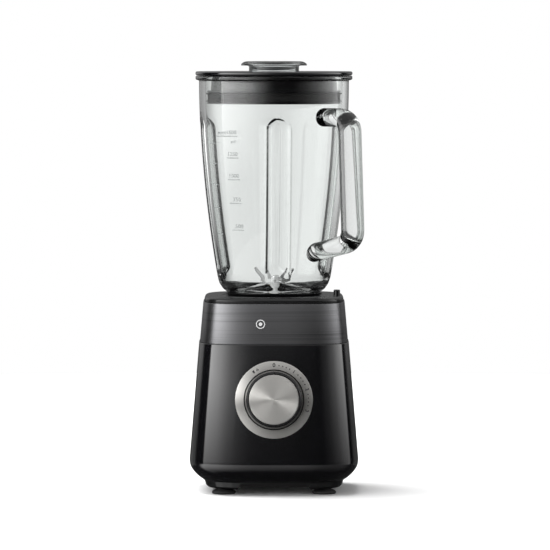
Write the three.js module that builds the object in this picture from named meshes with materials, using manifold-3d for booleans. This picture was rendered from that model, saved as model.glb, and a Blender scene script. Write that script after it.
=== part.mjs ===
// Countertop blender: a square-shouldered motor base with a round speed knob, a screw-in blade unit,
// a fluted glass jug with a fused glass handle, a plug lid and a clear measuring cup.
// Millimetres, +Z up. The front, with the knob, faces -Y. The origin is on the worktop under the motor shaft.
import * as THREE from "three";
import { mergeVertices } from "three/addons/utils/BufferGeometryUtils.js";
import Module from "manifold-3d";

const wasm = await Module();
wasm.setup();

// ---------------------------------------------------------------- driving dimensions

const GAP = 0.3; // between two pieces that touch
const HALF_TURN = Math.PI;
const QUARTER_TURN = Math.PI / 2;

// Motor base: half widths of its rounded-square plan at each height.
const PLAN_POWER = 3.8; // superellipse power of the plan
const FOOT_HEIGHT = 5.5;
const BELLY_BOTTOM = 12.4;
const SKIRT_TOP = 30;
const BODY_TOP = 146.5;
const BAND_TOP = 186;
const DECK_TOP = 191.5;
const SKIRT_HALF = 82.8;
const BODY_TOP_HALF = 73.2;
const BAND_BOTTOM_HALF = 72.5;
const BAND_TOP_HALF = 69.1;
const DECK_HALF = 68.1;
const SHELL_WALL = 2.5;
const BAND_WALL = 1.1;
const FACE_SLOPE = (SKIRT_HALF - BODY_TOP_HALF) / (BODY_TOP - SKIRT_TOP);

// Socket in the deck that takes the blade unit, and the dogs that drive it.
const WELL_RADIUS = 44.4;
const WELL_RIM = 51;
const WELL_FLOOR = 157;
const KEY_COUNT = 4;
const KEY_REACH = 47.2; // tip radius of the collar's keys
const DOG_COUNT = 8;
const DOG_TIP = 11.6;
const DOG_ROOT = 8.6;
const DOG_PLAY = 0.7;

// Glass jug.
const JUG_TOP = 405.7;
const JUG_RIM_RADIUS = 76.8;
const JUG_TOP_RADIUS = 73.4;
const JUG_SHOULDER = 213;
const JUG_SHOULDER_RADIUS = 56.4;
const JUG_TAPER_POWER = 1.85;
const JUG_WALL = 6;
const NECK_RADIUS = 40.5;
const NECK_BORE = 36.4;
const NECK_BOTTOM = 179.4;
const FLUTE_DEPTH = 9;
const FLUTE_HALF_WIDTH = 10.5;
const FLUTE_TURN = 4.4; // degrees the front flute is turned to the right
const FLUTE_TOP = 366;
const FLUTE_BOTTOM = 205;
const FLUTE_RUNOUT = 14;
const HANDLE_AZIMUTH = 42; // degrees from the front towards the right
const HANDLE_RADIAL = 9; // half thickness of the grip
const HANDLE_ACROSS = 10.6; // half width of its arms at the jug
const GRIP_ACROSS = 12.9; // half width of the grip

// Lid and measuring cup.
const LID_BOTTOM = JUG_TOP + GAP;
const LID_TOP = 410.1;
const LID_RADIUS = 76.9;
const PLUG_BOTTOM = 378.7;
const CUP_RADIUS = 24.5;
const CUP_FLANGE = 32.4;
const CUP_TOP = 420;
const CUP_BOTTOM = 383;

// Blade unit.
const COLLAR_RADIUS = 43.5;
const COLLAR_BOTTOM = 160;
const COLLAR_TOP = 193.9;
const SHAFT_RADIUS = 4;
const BLADE_SEAT = 196.5;
const BLADE_THICK = 1.4;

// Speed knob, on the sloping front face.
const KNOB_HEIGHT = 93.6;
const DIAL_RADIUS = 37.5;
const DIAL_BORE = 29.2;
const KNOB_SKIRT_RADIUS = 28.6;
const KNOB_CAP_RADIUS = 24.15;
const KNOB_REACH = 19;

// Interlock pin on the deck.
const PIN_PLACE = [61.4, -20];
const PIN_RADIUS = 3.2;
const PIN_TOP = 197.2;

// Feet and fasteners.
const FOOT_SPREAD = 48.8;
const FOOT_RADIUS = 11.8;
const SCREW_PLACE = [56, 22];

// ---------------------------------------------------------------- materials

const finish = (color, roughness, metalness = 0) =>
  new THREE.MeshStandardMaterial({ color, roughness, metalness });
const GLOSS_BLACK = finish(0x0b0b0c, 0.12);
const SATIN_BLACK = finish(0x1a1a1b, 0.45);
const RUBBER = finish(0x141414, 0.85);
const BRUSHED_DARK = finish(0x4a4a4c, 0.35, 0.9);
const BRUSHED_SILVER = finish(0xb4b3ad, 0.3, 1);
const STEEL = finish(0xc4c6c8, 0.2, 1);
const GLASS = finish(0xe8efec, 0.03);
const CLEAR_PLASTIC = finish(0xd5d8d8, 0.08);
const COPPER = finish(0xb5622e, 0.35, 0.9);
const LAMINATION = finish(0x63666a, 0.5, 0.8);
const BRASS = finish(0xbf9a4a, 0.3, 1);
const CARBON = finish(0x242424, 0.7);
const BOARD_GREEN = finish(0x1d5b3a, 0.6);
const WHITE_NYLON = finish(0xe4e2da, 0.5);

// ---------------------------------------------------------------- shape helpers

// A closed three.js geometry as a solid that can be cut and joined.
function solid(geometry) {
  const bare = geometry.index ? geometry.toNonIndexed() : geometry.clone();
  bare.deleteAttribute("normal");
  bare.deleteAttribute("uv");
  const merged = mergeVertices(bare, 1e-4);
  return new wasm.Manifold(
    new wasm.Mesh({
      numProp: 3,
      vertProperties: merged.attributes.position.array,
      triVerts: new Uint32Array(merged.index.array),
    }),
  );
}

// A cut or joined solid as a geometry again.
function geometryOf(body) {
  const mesh = body.getMesh();
  const geometry = new THREE.BufferGeometry();
  const places = new THREE.BufferAttribute(mesh.vertProperties, 3);
  geometry.setAttribute("position", places);
  geometry.setIndex(new THREE.BufferAttribute(mesh.triVerts, 1));
  geometry.computeVertexNormals();
  return geometry;
}

const join = (first, ...rest) => rest.reduce((sum, next) => sum.add(next), first);
const cut = (first, ...rest) => rest.reduce((left, next) => left.subtract(next), first);

// A turned geometry about +Z. The profile runs [radius, height] up the outside and down the inside.
function turnedGeometry(profile, segments) {
  const points = profile.map(([radius, height]) => new THREE.Vector2(radius, height));
  return new THREE.LatheGeometry(points, segments).rotateX(QUARTER_TURN);
}

// A turned solid whose profile starts and ends on the axis.
const turned = (profile, segments = 32) => solid(turnedGeometry(profile, segments));

// A turned ring whose profile closes on itself.
const ring = (profile, segments = 32) =>
  solid(turnedGeometry([...profile, profile[0]], segments));

// A round bar standing from one height to another, at a place in plan.
function bar(radius, low, high, [x, y] = [0, 0], segments = 24) {
  const geometry = new THREE.CylinderGeometry(radius, radius, high - low, segments);
  return solid(geometry.rotateX(QUARTER_TURN).translate(x, y, (low + high) / 2));
}

const tube = (outer, inner, low, high, segments = 24) =>
  cut(bar(outer, low, high, [0, 0], segments), bar(inner, low - 1, high + 1, [0, 0], segments));

// A box given by its two corners.
function block([x0, y0, z0], [x1, y1, z1]) {
  const geometry = new THREE.BoxGeometry(x1 - x0, y1 - y0, z1 - z0);
  return solid(geometry.translate((x0 + x1) / 2, (y0 + y1) / 2, (z0 + z1) / 2));
}

// A flat outline in plan, raised from one height to another.
function raised(shape, low, high, curveSegments = 12) {
  const options = { depth: high - low, bevelEnabled: false, curveSegments };
  return solid(new THREE.ExtrudeGeometry(shape, options).translate(0, 0, low));
}

// An outline in the front view (x, z), drawn out between two depths.
function drawnBack(points, front, back) {
  const shape = new THREE.Shape(points.map(([x, z]) => new THREE.Vector2(x, z)));
  const options = { depth: back - front, bevelEnabled: false };
  const geometry = new THREE.ExtrudeGeometry(shape, options);
  return solid(geometry.rotateX(QUARTER_TURN).translate(0, back, 0));
}

// A rounded rectangle centred on the axis.
function roundedRectangle(width, depth, radius) {
  const shape = new THREE.Shape();
  const [x, y] = [width / 2, depth / 2];
  shape.moveTo(x, radius - y);
  shape.absarc(x - radius, y - radius, radius, 0, QUARTER_TURN);
  shape.absarc(radius - x, y - radius, radius, QUARTER_TURN, HALF_TURN);
  shape.absarc(radius - x, radius - y, radius, HALF_TURN, 3 * QUARTER_TURN);
  shape.absarc(x - radius, radius - y, radius, 3 * QUARTER_TURN, 4 * QUARTER_TURN);
  return shape;
}

// Moves each vertex of a turned geometry to the radius and angle that `place` gives it.
function reshaped(geometry, place) {
  const spots = geometry.attributes.position;
  for (let i = 0; i < spots.count; i++) {
    const angle = Math.atan2(spots.getY(i), spots.getX(i));
    const radius = Math.hypot(spots.getX(i), spots.getY(i));
    const [newRadius, newAngle] = place(radius, angle, spots.getZ(i));
    spots.setXY(i, newRadius * Math.cos(newAngle), newRadius * Math.sin(newAngle));
  }
  return geometry;
}

// A turned profile squared to the base's plan. The steps crowd towards the four corners.
function squared(profile, segments = 40) {
  const CROWDING = 0.09;
  const geometry = turnedGeometry(profile, segments);
  return solid(
    reshaped(geometry, (radius, angle) => {
      const turn = angle + CROWDING * Math.sin(4 * angle);
      const [c, s] = [Math.abs(Math.cos(turn)), Math.abs(Math.sin(turn))];
      return [radius * (c ** PLAN_POWER + s ** PLAN_POWER) ** (-1 / PLAN_POWER), turn];
    }),
  );
}

const squaredRing = (profile, segments) => squared([...profile, profile[0]], segments);

// A toothed outline with rounded-off dogs, for the two halves of the drive coupling.
function dogOutline(tip, root) {
  const STEPS = 6; // points on each dog
  const points = [];
  for (let i = 0; i < DOG_COUNT * STEPS; i++) {
    const angle = (i * 2 * HALF_TURN) / (DOG_COUNT * STEPS);
    const wave = Math.cos(DOG_COUNT * angle);
    const radius = (tip + root) / 2 + ((tip - root) / 2) * Math.tanh(2 * wave) / Math.tanh(2);
    points.push(new THREE.Vector2(radius * Math.cos(angle), radius * Math.sin(angle)));
  }
  return new THREE.Shape(points);
}

// ---------------------------------------------------------------- the tree

const blender = new THREE.Group();

// Adds a named piece to a group, the whole blender unless another is given.
function piece(name, body, material, parent = blender) {
  const mesh = new THREE.Mesh(geometryOf(body), material);
  mesh.name = name;
  parent.add(mesh);
  return mesh;
}

// ---------------------------------------------------------------- motor base shells

function bottomPlate() {
  const skirt = squared([
    [0, FOOT_HEIGHT],
    [65.4, FOOT_HEIGHT],
    [67.2, 7.4],
    [68.4, BELLY_BOTTOM - GAP],
    [66, BELLY_BOTTOM - GAP],
    [66, 15.5],
    [0, 15.5],
  ]);
  const arch = drawnBack([[-38, 0], [38, 0], [32.5, 11.4], [-32.5, 11.4]], -90, -38);
  const pocket = bar(34, 0, 12.5);
  const slots = [-24, -16, -8, 0, 8, 16, 24].map((x) => block([x - 1.5, -20, 10], [x + 1.5, 20, 18]));
  const feet = footPlaces().map((place) => bar(7.2, 0, 8.5, place));
  const screws = screwPlaces().map((place) => bar(2.2, 0, 20, place, 12));
  const heads = screwPlaces().map((place) => bar(4, 0, 7.5, place, 16));
  const posts = mountPlaces().map((place) => bar(5, 15, 49.7, place, 16));
  const body = join(skirt, ...posts);
  piece("bottom_plate", cut(body, arch, pocket, ...slots, ...feet, ...screws, ...heads), SATIN_BLACK);
}

const fourCorners = (x, y) => [[-x, -y], [x, -y], [-x, y], [x, y]];
const footPlaces = () => fourCorners(FOOT_SPREAD, FOOT_SPREAD);
const screwPlaces = () => fourCorners(...SCREW_PLACE);
const mountPlaces = () => fourCorners(44, 11);
const CORNER_NAMES = ["front_left", "front_right", "rear_left", "rear_right"];

function feet() {
  const foot = [
    [0, 0],
    [FOOT_RADIUS - 1.3, 0],
    [FOOT_RADIUS, 1.3],
    [FOOT_RADIUS - 0.5, 2.8],
    [8.6, 4.4],
    [6.9, 4.9],
    [6.9, 8.2],
    [0, 8.2],
  ];
  footPlaces().forEach(([x, y], i) => {
    piece("foot_" + CORNER_NAMES[i], turned(foot, 20), RUBBER).position.set(x, y, 0);
  });
}

function baseScrews() {
  const screw = [[0, 5], [3.6, 5], [3.6, 7.2], [1.9, 7.2], [1.9, 19], [0, 20.5]];
  screwPlaces().forEach(([x, y], i) => {
    const drive = block([-2.6, -0.4, 4], [2.6, 0.4, 6]);
    const cross = block([-0.4, -2.6, 4], [0.4, 2.6, 6]);
    const body = cut(turned(screw, 10), drive, cross);
    piece("base_screw_" + CORNER_NAMES[i], body, STEEL).position.set(x, y, 0);
  });
}

function housing() {
  const behindBand = BAND_WALL + GAP;
  const shell = squaredRing([
    [69.4, BELLY_BOTTOM],
    [74.5, 16],
    [79.1, 20.8],
    [81.8, 25.4],
    [SKIRT_HALF, SKIRT_TOP],
    [BODY_TOP_HALF, BODY_TOP],
    [BAND_BOTTOM_HALF - behindBand, BODY_TOP],
    [BAND_TOP_HALF - behindBand, BAND_TOP - GAP],
    [BAND_TOP_HALF - behindBand - 1.8, BAND_TOP - GAP],
    [BAND_BOTTOM_HALF - behindBand - 2.2, BODY_TOP - 1],
    [SKIRT_HALF - SHELL_WALL, SKIRT_TOP],
    [79.3, 26.6],
    [76.8, 22.6],
    [72.8, 18.4],
    [66.6, 15.2],
    [66.6, BELLY_BOTTOM],
  ]);
  // Each base screw runs up into a boss on a rib.
  const bosses = screwPlaces().map(([x, y]) => {
    const [near, far] = x > 0 ? [x, 80.6] : [-80.6, x];
    const rib = block([near, y - 1.2, 27], [far, y + 1.2, 36]);
    return cut(join(bar(4.6, 15.9, 36, [x, y], 16), rib), bar(2.2, 10, 22, [x, y], 12));
  });
  const dialHole = onFace(bar(DIAL_RADIUS - 2, -12, 12, [0, 0], 40));
  const glandHole = bar(6.8, -12, 12, [0, 0], 20).rotate([90, 0, 0]).translate([0, 78, GLAND_HEIGHT]);
  piece("housing", cut(join(shell, ...bosses), dialHole, glandHole), GLOSS_BLACK);
}

function metalBand() {
  const low = BODY_TOP + GAP;
  const high = BAND_TOP - GAP;
  const band = squaredRing([
    [BAND_BOTTOM_HALF, low],
    [BAND_TOP_HALF, high],
    [BAND_TOP_HALF - BAND_WALL, high],
    [BAND_BOTTOM_HALF - BAND_WALL, low],
  ]);
  piece("metal_band", band, BRUSHED_DARK);
}

function topDeck() {
  const plate = squared([
    [0, BAND_TOP],
    [DECK_HALF - 0.2, BAND_TOP],
    [DECK_HALF, DECK_TOP - 1.8],
    [DECK_HALF - 0.8, DECK_TOP - 0.5],
    [DECK_HALF - 2.2, DECK_TOP],
    [0, DECK_TOP],
  ]);
  const bucket = turned([
    [0, WELL_FLOOR - 2.5],
    [KEY_REACH + 3, WELL_FLOOR - 2.5],
    [KEY_REACH + 3, DECK_TOP - 9],
    [WELL_RIM + 1.6, BAND_TOP + 1],
    [0, BAND_TOP + 1],
  ], 32);
  const well = bar(WELL_RADIUS, WELL_FLOOR, DECK_TOP + 1, [0, 0], 32);
  const shaftHole = bar(9, WELL_FLOOR - 4, WELL_FLOOR + 1);
  const pinHole = bar(PIN_RADIUS + 0.35, BAND_TOP - 1, DECK_TOP + 1, PIN_PLACE, 20);
  const grooves = keys(KEY_REACH + 0.8, 5.2, WELL_FLOOR + 1, DECK_TOP + 1);
  const dish = turned([
    [0, DECK_TOP - 5],
    [WELL_RADIUS + 2, DECK_TOP - 5],
    [WELL_RIM - 0.6, DECK_TOP - 1.4],
    [WELL_RIM, DECK_TOP + 1],
    [0, DECK_TOP + 1],
  ], 32);
  piece("top_deck", cut(join(plate, bucket), well, dish, shaftHole, pinHole, ...grooves), SATIN_BLACK);
}

// Blocks that stick out to `reach`, evenly spaced round the axis, on the diagonals.
function keys(reach, halfWidth, low, high) {
  return Array.from({ length: KEY_COUNT }, (_, i) => {
    const geometry = new THREE.BoxGeometry(10, 2 * halfWidth, high - low);
    const turn = ((i + 0.5) * 2 * HALF_TURN) / KEY_COUNT;
    return solid(geometry.translate(reach - 5, 0, (low + high) / 2).rotateZ(turn));
  });
}

const GLAND_HEIGHT = 45;

function cordGland() {
  const body = ring([
    [9.4, 6.8],
    [9.4, 10],
    [7.6, 12],
    [6.4, 18],
    [3.6, 18],
    [3.6, 0],
    [6.4, 0],
    [6.4, 6.8],
  ], 24);
  const gland = piece("cord_gland", body, RUBBER);
  gland.rotation.x = -QUARTER_TURN;
  gland.position.set(0, 76.2, GLAND_HEIGHT);
}

// ---------------------------------------------------------------- knob and controls

const FACE_TILT = Math.atan(FACE_SLOPE);
const FACE_DEPTH = BODY_TOP_HALF + (BODY_TOP - KNOB_HEIGHT) * FACE_SLOPE;

// The frame of the front face: +Z runs straight out of the face at the knob's centre.
function faceFrame() {
  const frame = new THREE.Group();
  frame.rotation.x = QUARTER_TURN - FACE_TILT;
  frame.position.set(0, -FACE_DEPTH, KNOB_HEIGHT);
  frame.updateMatrix();
  return frame;
}

// Carries a body from the frame of the front face into the blender's frame.
function onFace(body) {
  return body.transform(faceFrame().matrix.toArray());
}

function controls() {
  const face = faceFrame();
  blender.add(face);

  const dial = ring([
    [DIAL_RADIUS, 0.4],
    [DIAL_RADIUS, 1.5],
    [DIAL_RADIUS - 0.6, 2],
    [DIAL_BORE, 2],
    [DIAL_BORE, 0.4],
  ], 40);
  piece("dial_ring", dial, BRUSHED_SILVER, face);

  // A shallow dish behind the dial, through the hole in the housing.
  const dish = ring([
    [DIAL_RADIUS, -2.4],
    [DIAL_RADIUS, 0.1],
    [29, 0.1],
    [29, -6],
    [4.8, -6],
    [4.8, -8],
    [34, -8],
    [34, -2.4],
  ], 36);
  const shellCut = onFaceShell();
  piece("dial_seat", cut(dish, shellCut), SATIN_BLACK, face);

  const skirt = turned([
    [0, 1],
    [26.5, 1],
    [26.5, -5],
    [KNOB_SKIRT_RADIUS, -5],
    [KNOB_SKIRT_RADIUS, 2.6],
    [26.6, KNOB_REACH - 2.6],
    [25.9, KNOB_REACH - 1.2],
    [24.6, KNOB_REACH - 0.5],
    [24.6, KNOB_REACH - 2.4],
    [0, KNOB_REACH - 2.4],
  ], 36);
  const pointer = block([-1.1, 24.7, KNOB_REACH - 3], [1.1, 27.6, KNOB_REACH - 0.4]);
  const hub = bar(7, -4.4, 3);
  const bore = bar(3.3, -5, 6, [0, 0], 16);
  piece("knob_body", cut(join(skirt, pointer, hub), bore), GLOSS_BLACK, face);

  const cap = turned([
    [0, KNOB_REACH - 2.1],
    [KNOB_CAP_RADIUS, KNOB_REACH - 2.1],
    [KNOB_CAP_RADIUS, KNOB_REACH - 0.5],
    [KNOB_CAP_RADIUS - 0.6, KNOB_REACH],
    [0, KNOB_REACH],
  ], 36);
  piece("knob_cap", cap, BRUSHED_SILVER, face);

  piece("knob_shaft", bar(3, -13.6, 5.6, [0, 0], 16), STEEL, face);
  const switchBody = join(
    block([-12, -12, -22], [12, 12, -14]),
    tube(4.4, 3.3, -14.5, -8.6, 16),
  );
  const switchBore = bar(3.3, -14, -8, [0, 0], 16);
  piece("speed_switch", cut(switchBody, switchBore), WHITE_NYLON, face);

  const board = join(
    block([-30, -51.6, 62], [30, -50, 126]),
    block([-24, -50.2, 66], [-10, -44.5, 82]),
    block([8, -50.2, 70], [22, -46.5, 80]),
    bar(4.5, -50.2, -42.5, [18, -108], 16).rotate([-90, 0, 0]),
  );
  piece("control_board", board, BOARD_GREEN);
}

// The housing's front wall, grown a little, in the frame of the face, for trimming what passes through it.
function onFaceShell() {
  const shell = squaredRing([
    [SKIRT_HALF + GAP, SKIRT_TOP],
    [BODY_TOP_HALF + GAP, BODY_TOP],
    [BODY_TOP_HALF - SHELL_WALL - 1.5, BODY_TOP],
    [SKIRT_HALF - SHELL_WALL - 1.5, SKIRT_TOP],
  ]);
  const window = onFace(bar(DIAL_RADIUS - 2 - GAP, -12, 12, [0, 0], 40));
  return cut(shell, window).transform(faceFrame().matrix.clone().invert().toArray());
}

function interlock() {
  const [x, y] = PIN_PLACE;
  const pin = turned([
    [0, 179],
    [PIN_RADIUS, 179],
    [PIN_RADIUS, PIN_TOP - 0.6],
    [PIN_RADIUS - 0.6, PIN_TOP],
    [0, PIN_TOP],
  ], 20);
  piece("interlock_pin", pin, GLOSS_BLACK).position.set(x, y, 0);
  const [coilRadius, low, high, turns] = [2.2, 169.6, 178.2, 4];
  class Coil extends THREE.Curve {
    getPoint(t) {
      const angle = 2 * HALF_TURN * turns * t;
      const [x, y] = [coilRadius * Math.cos(angle), coilRadius * Math.sin(angle)];
      return new THREE.Vector3(x, y, low + (high - low) * t);
    }
  }
  const wire = new THREE.Shape().absarc(0, 0, 0.35, 0, 2 * HALF_TURN);
  const options = { steps: 32, extrudePath: new Coil(), curveSegments: 2, bevelEnabled: false };
  const spring = solid(new THREE.ExtrudeGeometry(wire, options));
  piece("interlock_spring", spring, STEEL).position.set(x, y, 0);
  piece("interlock_switch", block([x - 4.5, y - 8, 158.5], [x + 2.6, y + 8, 168.9]), SATIN_BLACK);
}

// ---------------------------------------------------------------- motor

const STATOR_LOW = 90;
const STATOR_HIGH = 122;

function motorStator() {
  const yoke = cut(
    raised(roundedRectangle(86, 78, 10), STATOR_LOW, STATOR_HIGH, 3),
    raised(roundedRectangle(68, 60, 6), STATOR_LOW - 1, STATOR_HIGH + 1, 3),
  );
  const poles = [-1, 1].map((side) => {
    const [near, far] = side > 0 ? [14, 31] : [-31, -14];
    const [shoeNear, shoeFar] = side > 0 ? [12, 24] : [-24, -12];
    return join(
      block([-13, near, STATOR_LOW], [13, far, STATOR_HIGH]),
      block([-21, shoeNear, STATOR_LOW], [21, shoeFar, STATOR_HIGH]),
    );
  });
  const boreHole = bar(23.6, STATOR_LOW - 1, STATOR_HIGH + 1, [0, 0], 36);
  piece("stator_core", cut(join(yoke, ...poles), boreHole), LAMINATION);

  const racetrack = (grow) => raised(roundedRectangle(27.4 + grow, 33.4 + grow, 2 + grow / 4), 24.6, 29.4, 3);
  ["front", "rear"].forEach((end, i) => {
    const coil = cut(racetrack(16), block([-13.4, -16.7, 20], [13.4, 16.7, 34]));
    const mesh = piece("field_coil_" + end, coil, COPPER);
    mesh.rotation.x = i ? -QUARTER_TURN : QUARTER_TURN;
    mesh.position.z = (STATOR_LOW + STATOR_HIGH) / 2;
  });
}

function motorRotor() {
  const slot = (i) => solid(
    new THREE.BoxGeometry(7, 2.4, 60).translate(20.5, 0, 106).rotateZ((i * 2 * HALF_TURN) / 12),
  );
  const slots = Array.from({ length: 12 }, (_, i) => slot(i));
  const shaftBore = (low, high) => bar(SHAFT_RADIUS + GAP, low, high, [0, 0], 16);
  piece("rotor_core", cut(bar(22.6, 89, 123, [0, 0], 36), shaftBore(80, 130), ...slots), LAMINATION);
  const winding = (low, high) => ring([[19, low], [20.5, (low + high) / 2], [18, high], [7, high], [7, low]], 24);
  piece("rotor_winding_top", winding(123.4, 130), COPPER);
  piece("rotor_winding_bottom", winding(81.5, 88.6), COPPER);
  piece("commutator", cut(bar(11, 66, 80, [0, 0], 24), shaftBore(60, 90)), BRASS);
  piece("motor_shaft", bar(SHAFT_RADIUS, 24, 164, [0, 0], 16), STEEL);

  const bladeOfFan = (i) => solid(
    new THREE.BoxGeometry(25, 1.6, 10).rotateX(0.35).translate(22.5, 0, 36).rotateZ((i * 2 * HALF_TURN) / 9),
  );
  const fan = join(
    bar(36, 40, 42, [0, 0], 36),
    bar(11, 29, 42, [0, 0], 24),
    ...Array.from({ length: 9 }, (_, i) => bladeOfFan(i)),
  );
  piece("cooling_fan", cut(fan, shaftBore(20, 50)), SATIN_BLACK);

  const dogs = join(
    raised(dogOutline(DOG_TIP, DOG_ROOT), WELL_FLOOR + 0.8, 165.4, 1),
    bar(8, 152, WELL_FLOOR + 2),
  );
  piece("drive_coupling", cut(dogs, bar(SHAFT_RADIUS + GAP, 140, 164.4, [0, 0], 16)), SATIN_BLACK);
}

function motorFrames() {
  // Each frame is a bridge across the stator with a round seat for its bearing.
  const upper = drawnBack(
    [[-42, 122.3], [-42, 137], [42, 137], [42, 122.3], [39, 122.3], [39, 134], [-39, 134], [-39, 122.3]],
    -13,
    13,
  );
  const upperSeat = join(upper, bar(13, 134, 145));
  piece("upper_frame", cut(upperSeat, bar(9.8, 137, 146), bar(6, 130, 146)), LAMINATION);
  const lower = drawnBack(
    [[-50, 58], [-50, 61], [-42, 61], [-42, 89.7], [-39, 89.7], [-39, 61],
      [39, 61], [39, 89.7], [42, 89.7], [42, 61], [50, 61], [50, 58]],
    -17,
    17,
  );
  const lowerSeat = join(lower, bar(13, 50, 59));
  piece("lower_frame", cut(lowerSeat, bar(9.8, 49, 58), bar(6, 48, 62)), LAMINATION);
  piece("upper_bearing", tube(9.5, SHAFT_RADIUS + GAP, 137.3, 144.3), STEEL);
  piece("lower_bearing", tube(9.5, SHAFT_RADIUS + GAP, 50.7, 57.7), STEEL);
  mountPlaces().forEach((place, i) => {
    piece("motor_mount_" + CORNER_NAMES[i], bar(5, 50, 57.7, place, 16), RUBBER);
  });

  ["left", "right"].forEach((side, i) => {
    const sign = i ? 1 : -1;
    const between = (a, b) => [Math.min(sign * a, sign * b), Math.max(sign * a, sign * b)];
    const [c0, c1] = between(11.5, 26);
    piece("carbon_brush_" + side, block([c0, -3, 69], [c1, 3, 77]), CARBON);
    const [h0, h1] = between(16, 36);
    const [p0, p1] = between(10, 34);
    const holder = join(
      cut(block([h0, -4.6, 67.4], [h1, 4.6, 78.6]), block([p0, -3.3, 68.7], [p1, 3.3, 77.3])),
      block([Math.min(h0, h1) + 4, -4.6, 61.3], [Math.max(h0, h1) - 4, 4.6, 68]),
    );
    piece("brush_holder_" + side, holder, BRASS);
  });
}

// ---------------------------------------------------------------- blade unit

function bladeUnit() {
  // A round holder with a ring slot for the jug's neck, a bowl inside it and the coupling's bay below.
  const holder = ring([
    [COLLAR_RADIUS, COLLAR_BOTTOM],
    [COLLAR_RADIUS, 187.4],
    [47.2, COLLAR_TOP],
    [46.1, COLLAR_TOP],
    [NECK_RADIUS + 0.4, 188.1],
    [NECK_RADIUS + 0.4, NECK_BOTTOM - 1.8],
    [NECK_BORE - 0.4, NECK_BOTTOM - 1.8],
    [NECK_BORE - 0.4, 190.4],
    [NECK_BORE - 1.4, 191.4],
    [NECK_BORE - 2.8, 190.4],
    [32.4, 187.4],
    [28.4, 184.8],
    [18.6, 185],
    [12, 188.4],
    [8.6, 195.2],
    [7.6, 195.2],
    [7.6, 170],
    [11, 170],
    [11, 181.6],
    [26, 181.6],
    [30, 174],
    [41, 174],
    [41, COLLAR_BOTTOM],
  ], 32);
  const core = bar(COLLAR_RADIUS - 1, 100, 250, [0, 0], 32);
  const tabs = keys(KEY_REACH, 4.2, COLLAR_BOTTOM, 183).map((key) => cut(key, core));
  piece("blade_holder", join(holder, ...tabs), SATIN_BLACK);
  const gasket = tube(NECK_RADIUS, NECK_BORE, NECK_BOTTOM - 1.5, NECK_BOTTOM - GAP, 32);
  piece("jug_gasket", gasket, RUBBER);
  piece("blade_bushing", tube(7.3, SHAFT_RADIUS + GAP, 170.3, 196.2), BRASS);

  piece("blade_shaft", bar(SHAFT_RADIUS, 167.2, 204.2, [0, 0], 16), STEEL);
  const coupling = cut(
    bar(17, 159.6, 169.6, [0, 0], 32),
    raised(dogOutline(DOG_TIP + DOG_PLAY, DOG_ROOT + DOG_PLAY), 150, 166.2, 1),
    bar(SHAFT_RADIUS + GAP, 166.9, 172, [0, 0], 16),
  );
  piece("driven_coupling", coupling, SATIN_BLACK);

  // Three two-armed blades: one pair bent up and two pairs bent down.
  blade("upper_blade", 2, { reach: 21, rise: 17, root: 12, tip: 6.5, turn: -33 });
  blade("middle_blade", 1, { reach: 23, rise: -7.6, root: 12, tip: 1.8, turn: -86 });
  blade("lower_blade", 0, { reach: 28.5, rise: -7, root: 11, tip: 2.4, turn: 5 });
  const nut = new THREE.CylinderGeometry(5.8, 5.8, 3.6, 6).rotateX(QUARTER_TURN).translate(0, 0, 203.3);
  const dome = turned([[0, 204.6], [4.8, 204.6], [4, 206.4], [0, 207.2]], 16);
  const nutBore = bar(SHAFT_RADIUS + GAP, 195, 204.5, [0, 0], 16);
  piece("blade_nut", cut(join(solid(nut), dome), nutBore), STEEL);
}

// One two-armed blade, `level` plates up the stack. Its arms bend where they leave the washer.
function blade(name, level, { reach, rise, root, tip, turn }) {
  const BEND = 7.5;
  const low = BLADE_SEAT + level * (BLADE_THICK + GAP);
  const top = low + BLADE_THICK;
  const lift = BLADE_THICK / Math.cos(Math.atan2(rise, reach - BEND));
  const bent = drawnBack(
    [[-reach, low + rise], [-BEND, low], [BEND, low], [reach, low + rise],
      [reach, low + rise + lift], [BEND, top], [-BEND, top], [-reach, low + rise + lift]],
    -10,
    10,
  );
  const outline = new THREE.Shape();
  outline.moveTo(0, -root / 2);
  outline.lineTo(BEND, -root / 2);
  outline.lineTo(reach + 1, -tip / 2);
  outline.lineTo(reach + 1, tip / 2);
  outline.lineTo(BEND, root / 2);
  outline.lineTo(-BEND, root / 2);
  outline.lineTo(-reach - 1, tip / 2);
  outline.lineTo(-reach - 1, -tip / 2);
  outline.lineTo(-BEND, -root / 2);
  const plan = raised(outline, 150, 260);
  const body = cut(bent.intersect(plan), bar(SHAFT_RADIUS + GAP, 150, 260, [0, 0], 16));
  piece(name, body, STEEL).rotation.z = THREE.MathUtils.degToRad(turn);
}

// ---------------------------------------------------------------- glass jug

const TAPER_TOP = JUG_TOP - 4.6;

// The jug's outer radius between its shoulder and its rim.
const jugRadius = (height) =>
  JUG_TOP_RADIUS -
  (JUG_TOP_RADIUS - JUG_SHOULDER_RADIUS) *
    ((TAPER_TOP - height) / (TAPER_TOP - JUG_SHOULDER)) ** JUG_TAPER_POWER;

const JUG_LEVELS = [236, 270, 305, 335, 352, 359, 366, TAPER_TOP];
const jugWall = (inset) => JUG_LEVELS.map((height) => [jugRadius(height) - inset, height]);

// Outer profile of the jug from the end of its neck up to its rim, grown by `grow`.
function jugOutside(grow = 0) {
  const profile = [
    [NECK_RADIUS, NECK_BOTTOM],
    [NECK_RADIUS, 188.4],
    [46.2, 194.6],
    [49.8, 197.4],
    [53.2, 202.4],
    [55.6, 208.4],
    [JUG_SHOULDER_RADIUS, JUG_SHOULDER],
    ...jugWall(0),
    [JUG_RIM_RADIUS, JUG_TOP - 3.5],
    [JUG_RIM_RADIUS, JUG_TOP - 0.9],
    [JUG_RIM_RADIUS - 0.9, JUG_TOP],
  ];
  return profile.map(([radius, height]) => [radius + grow, height]);
}

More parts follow.
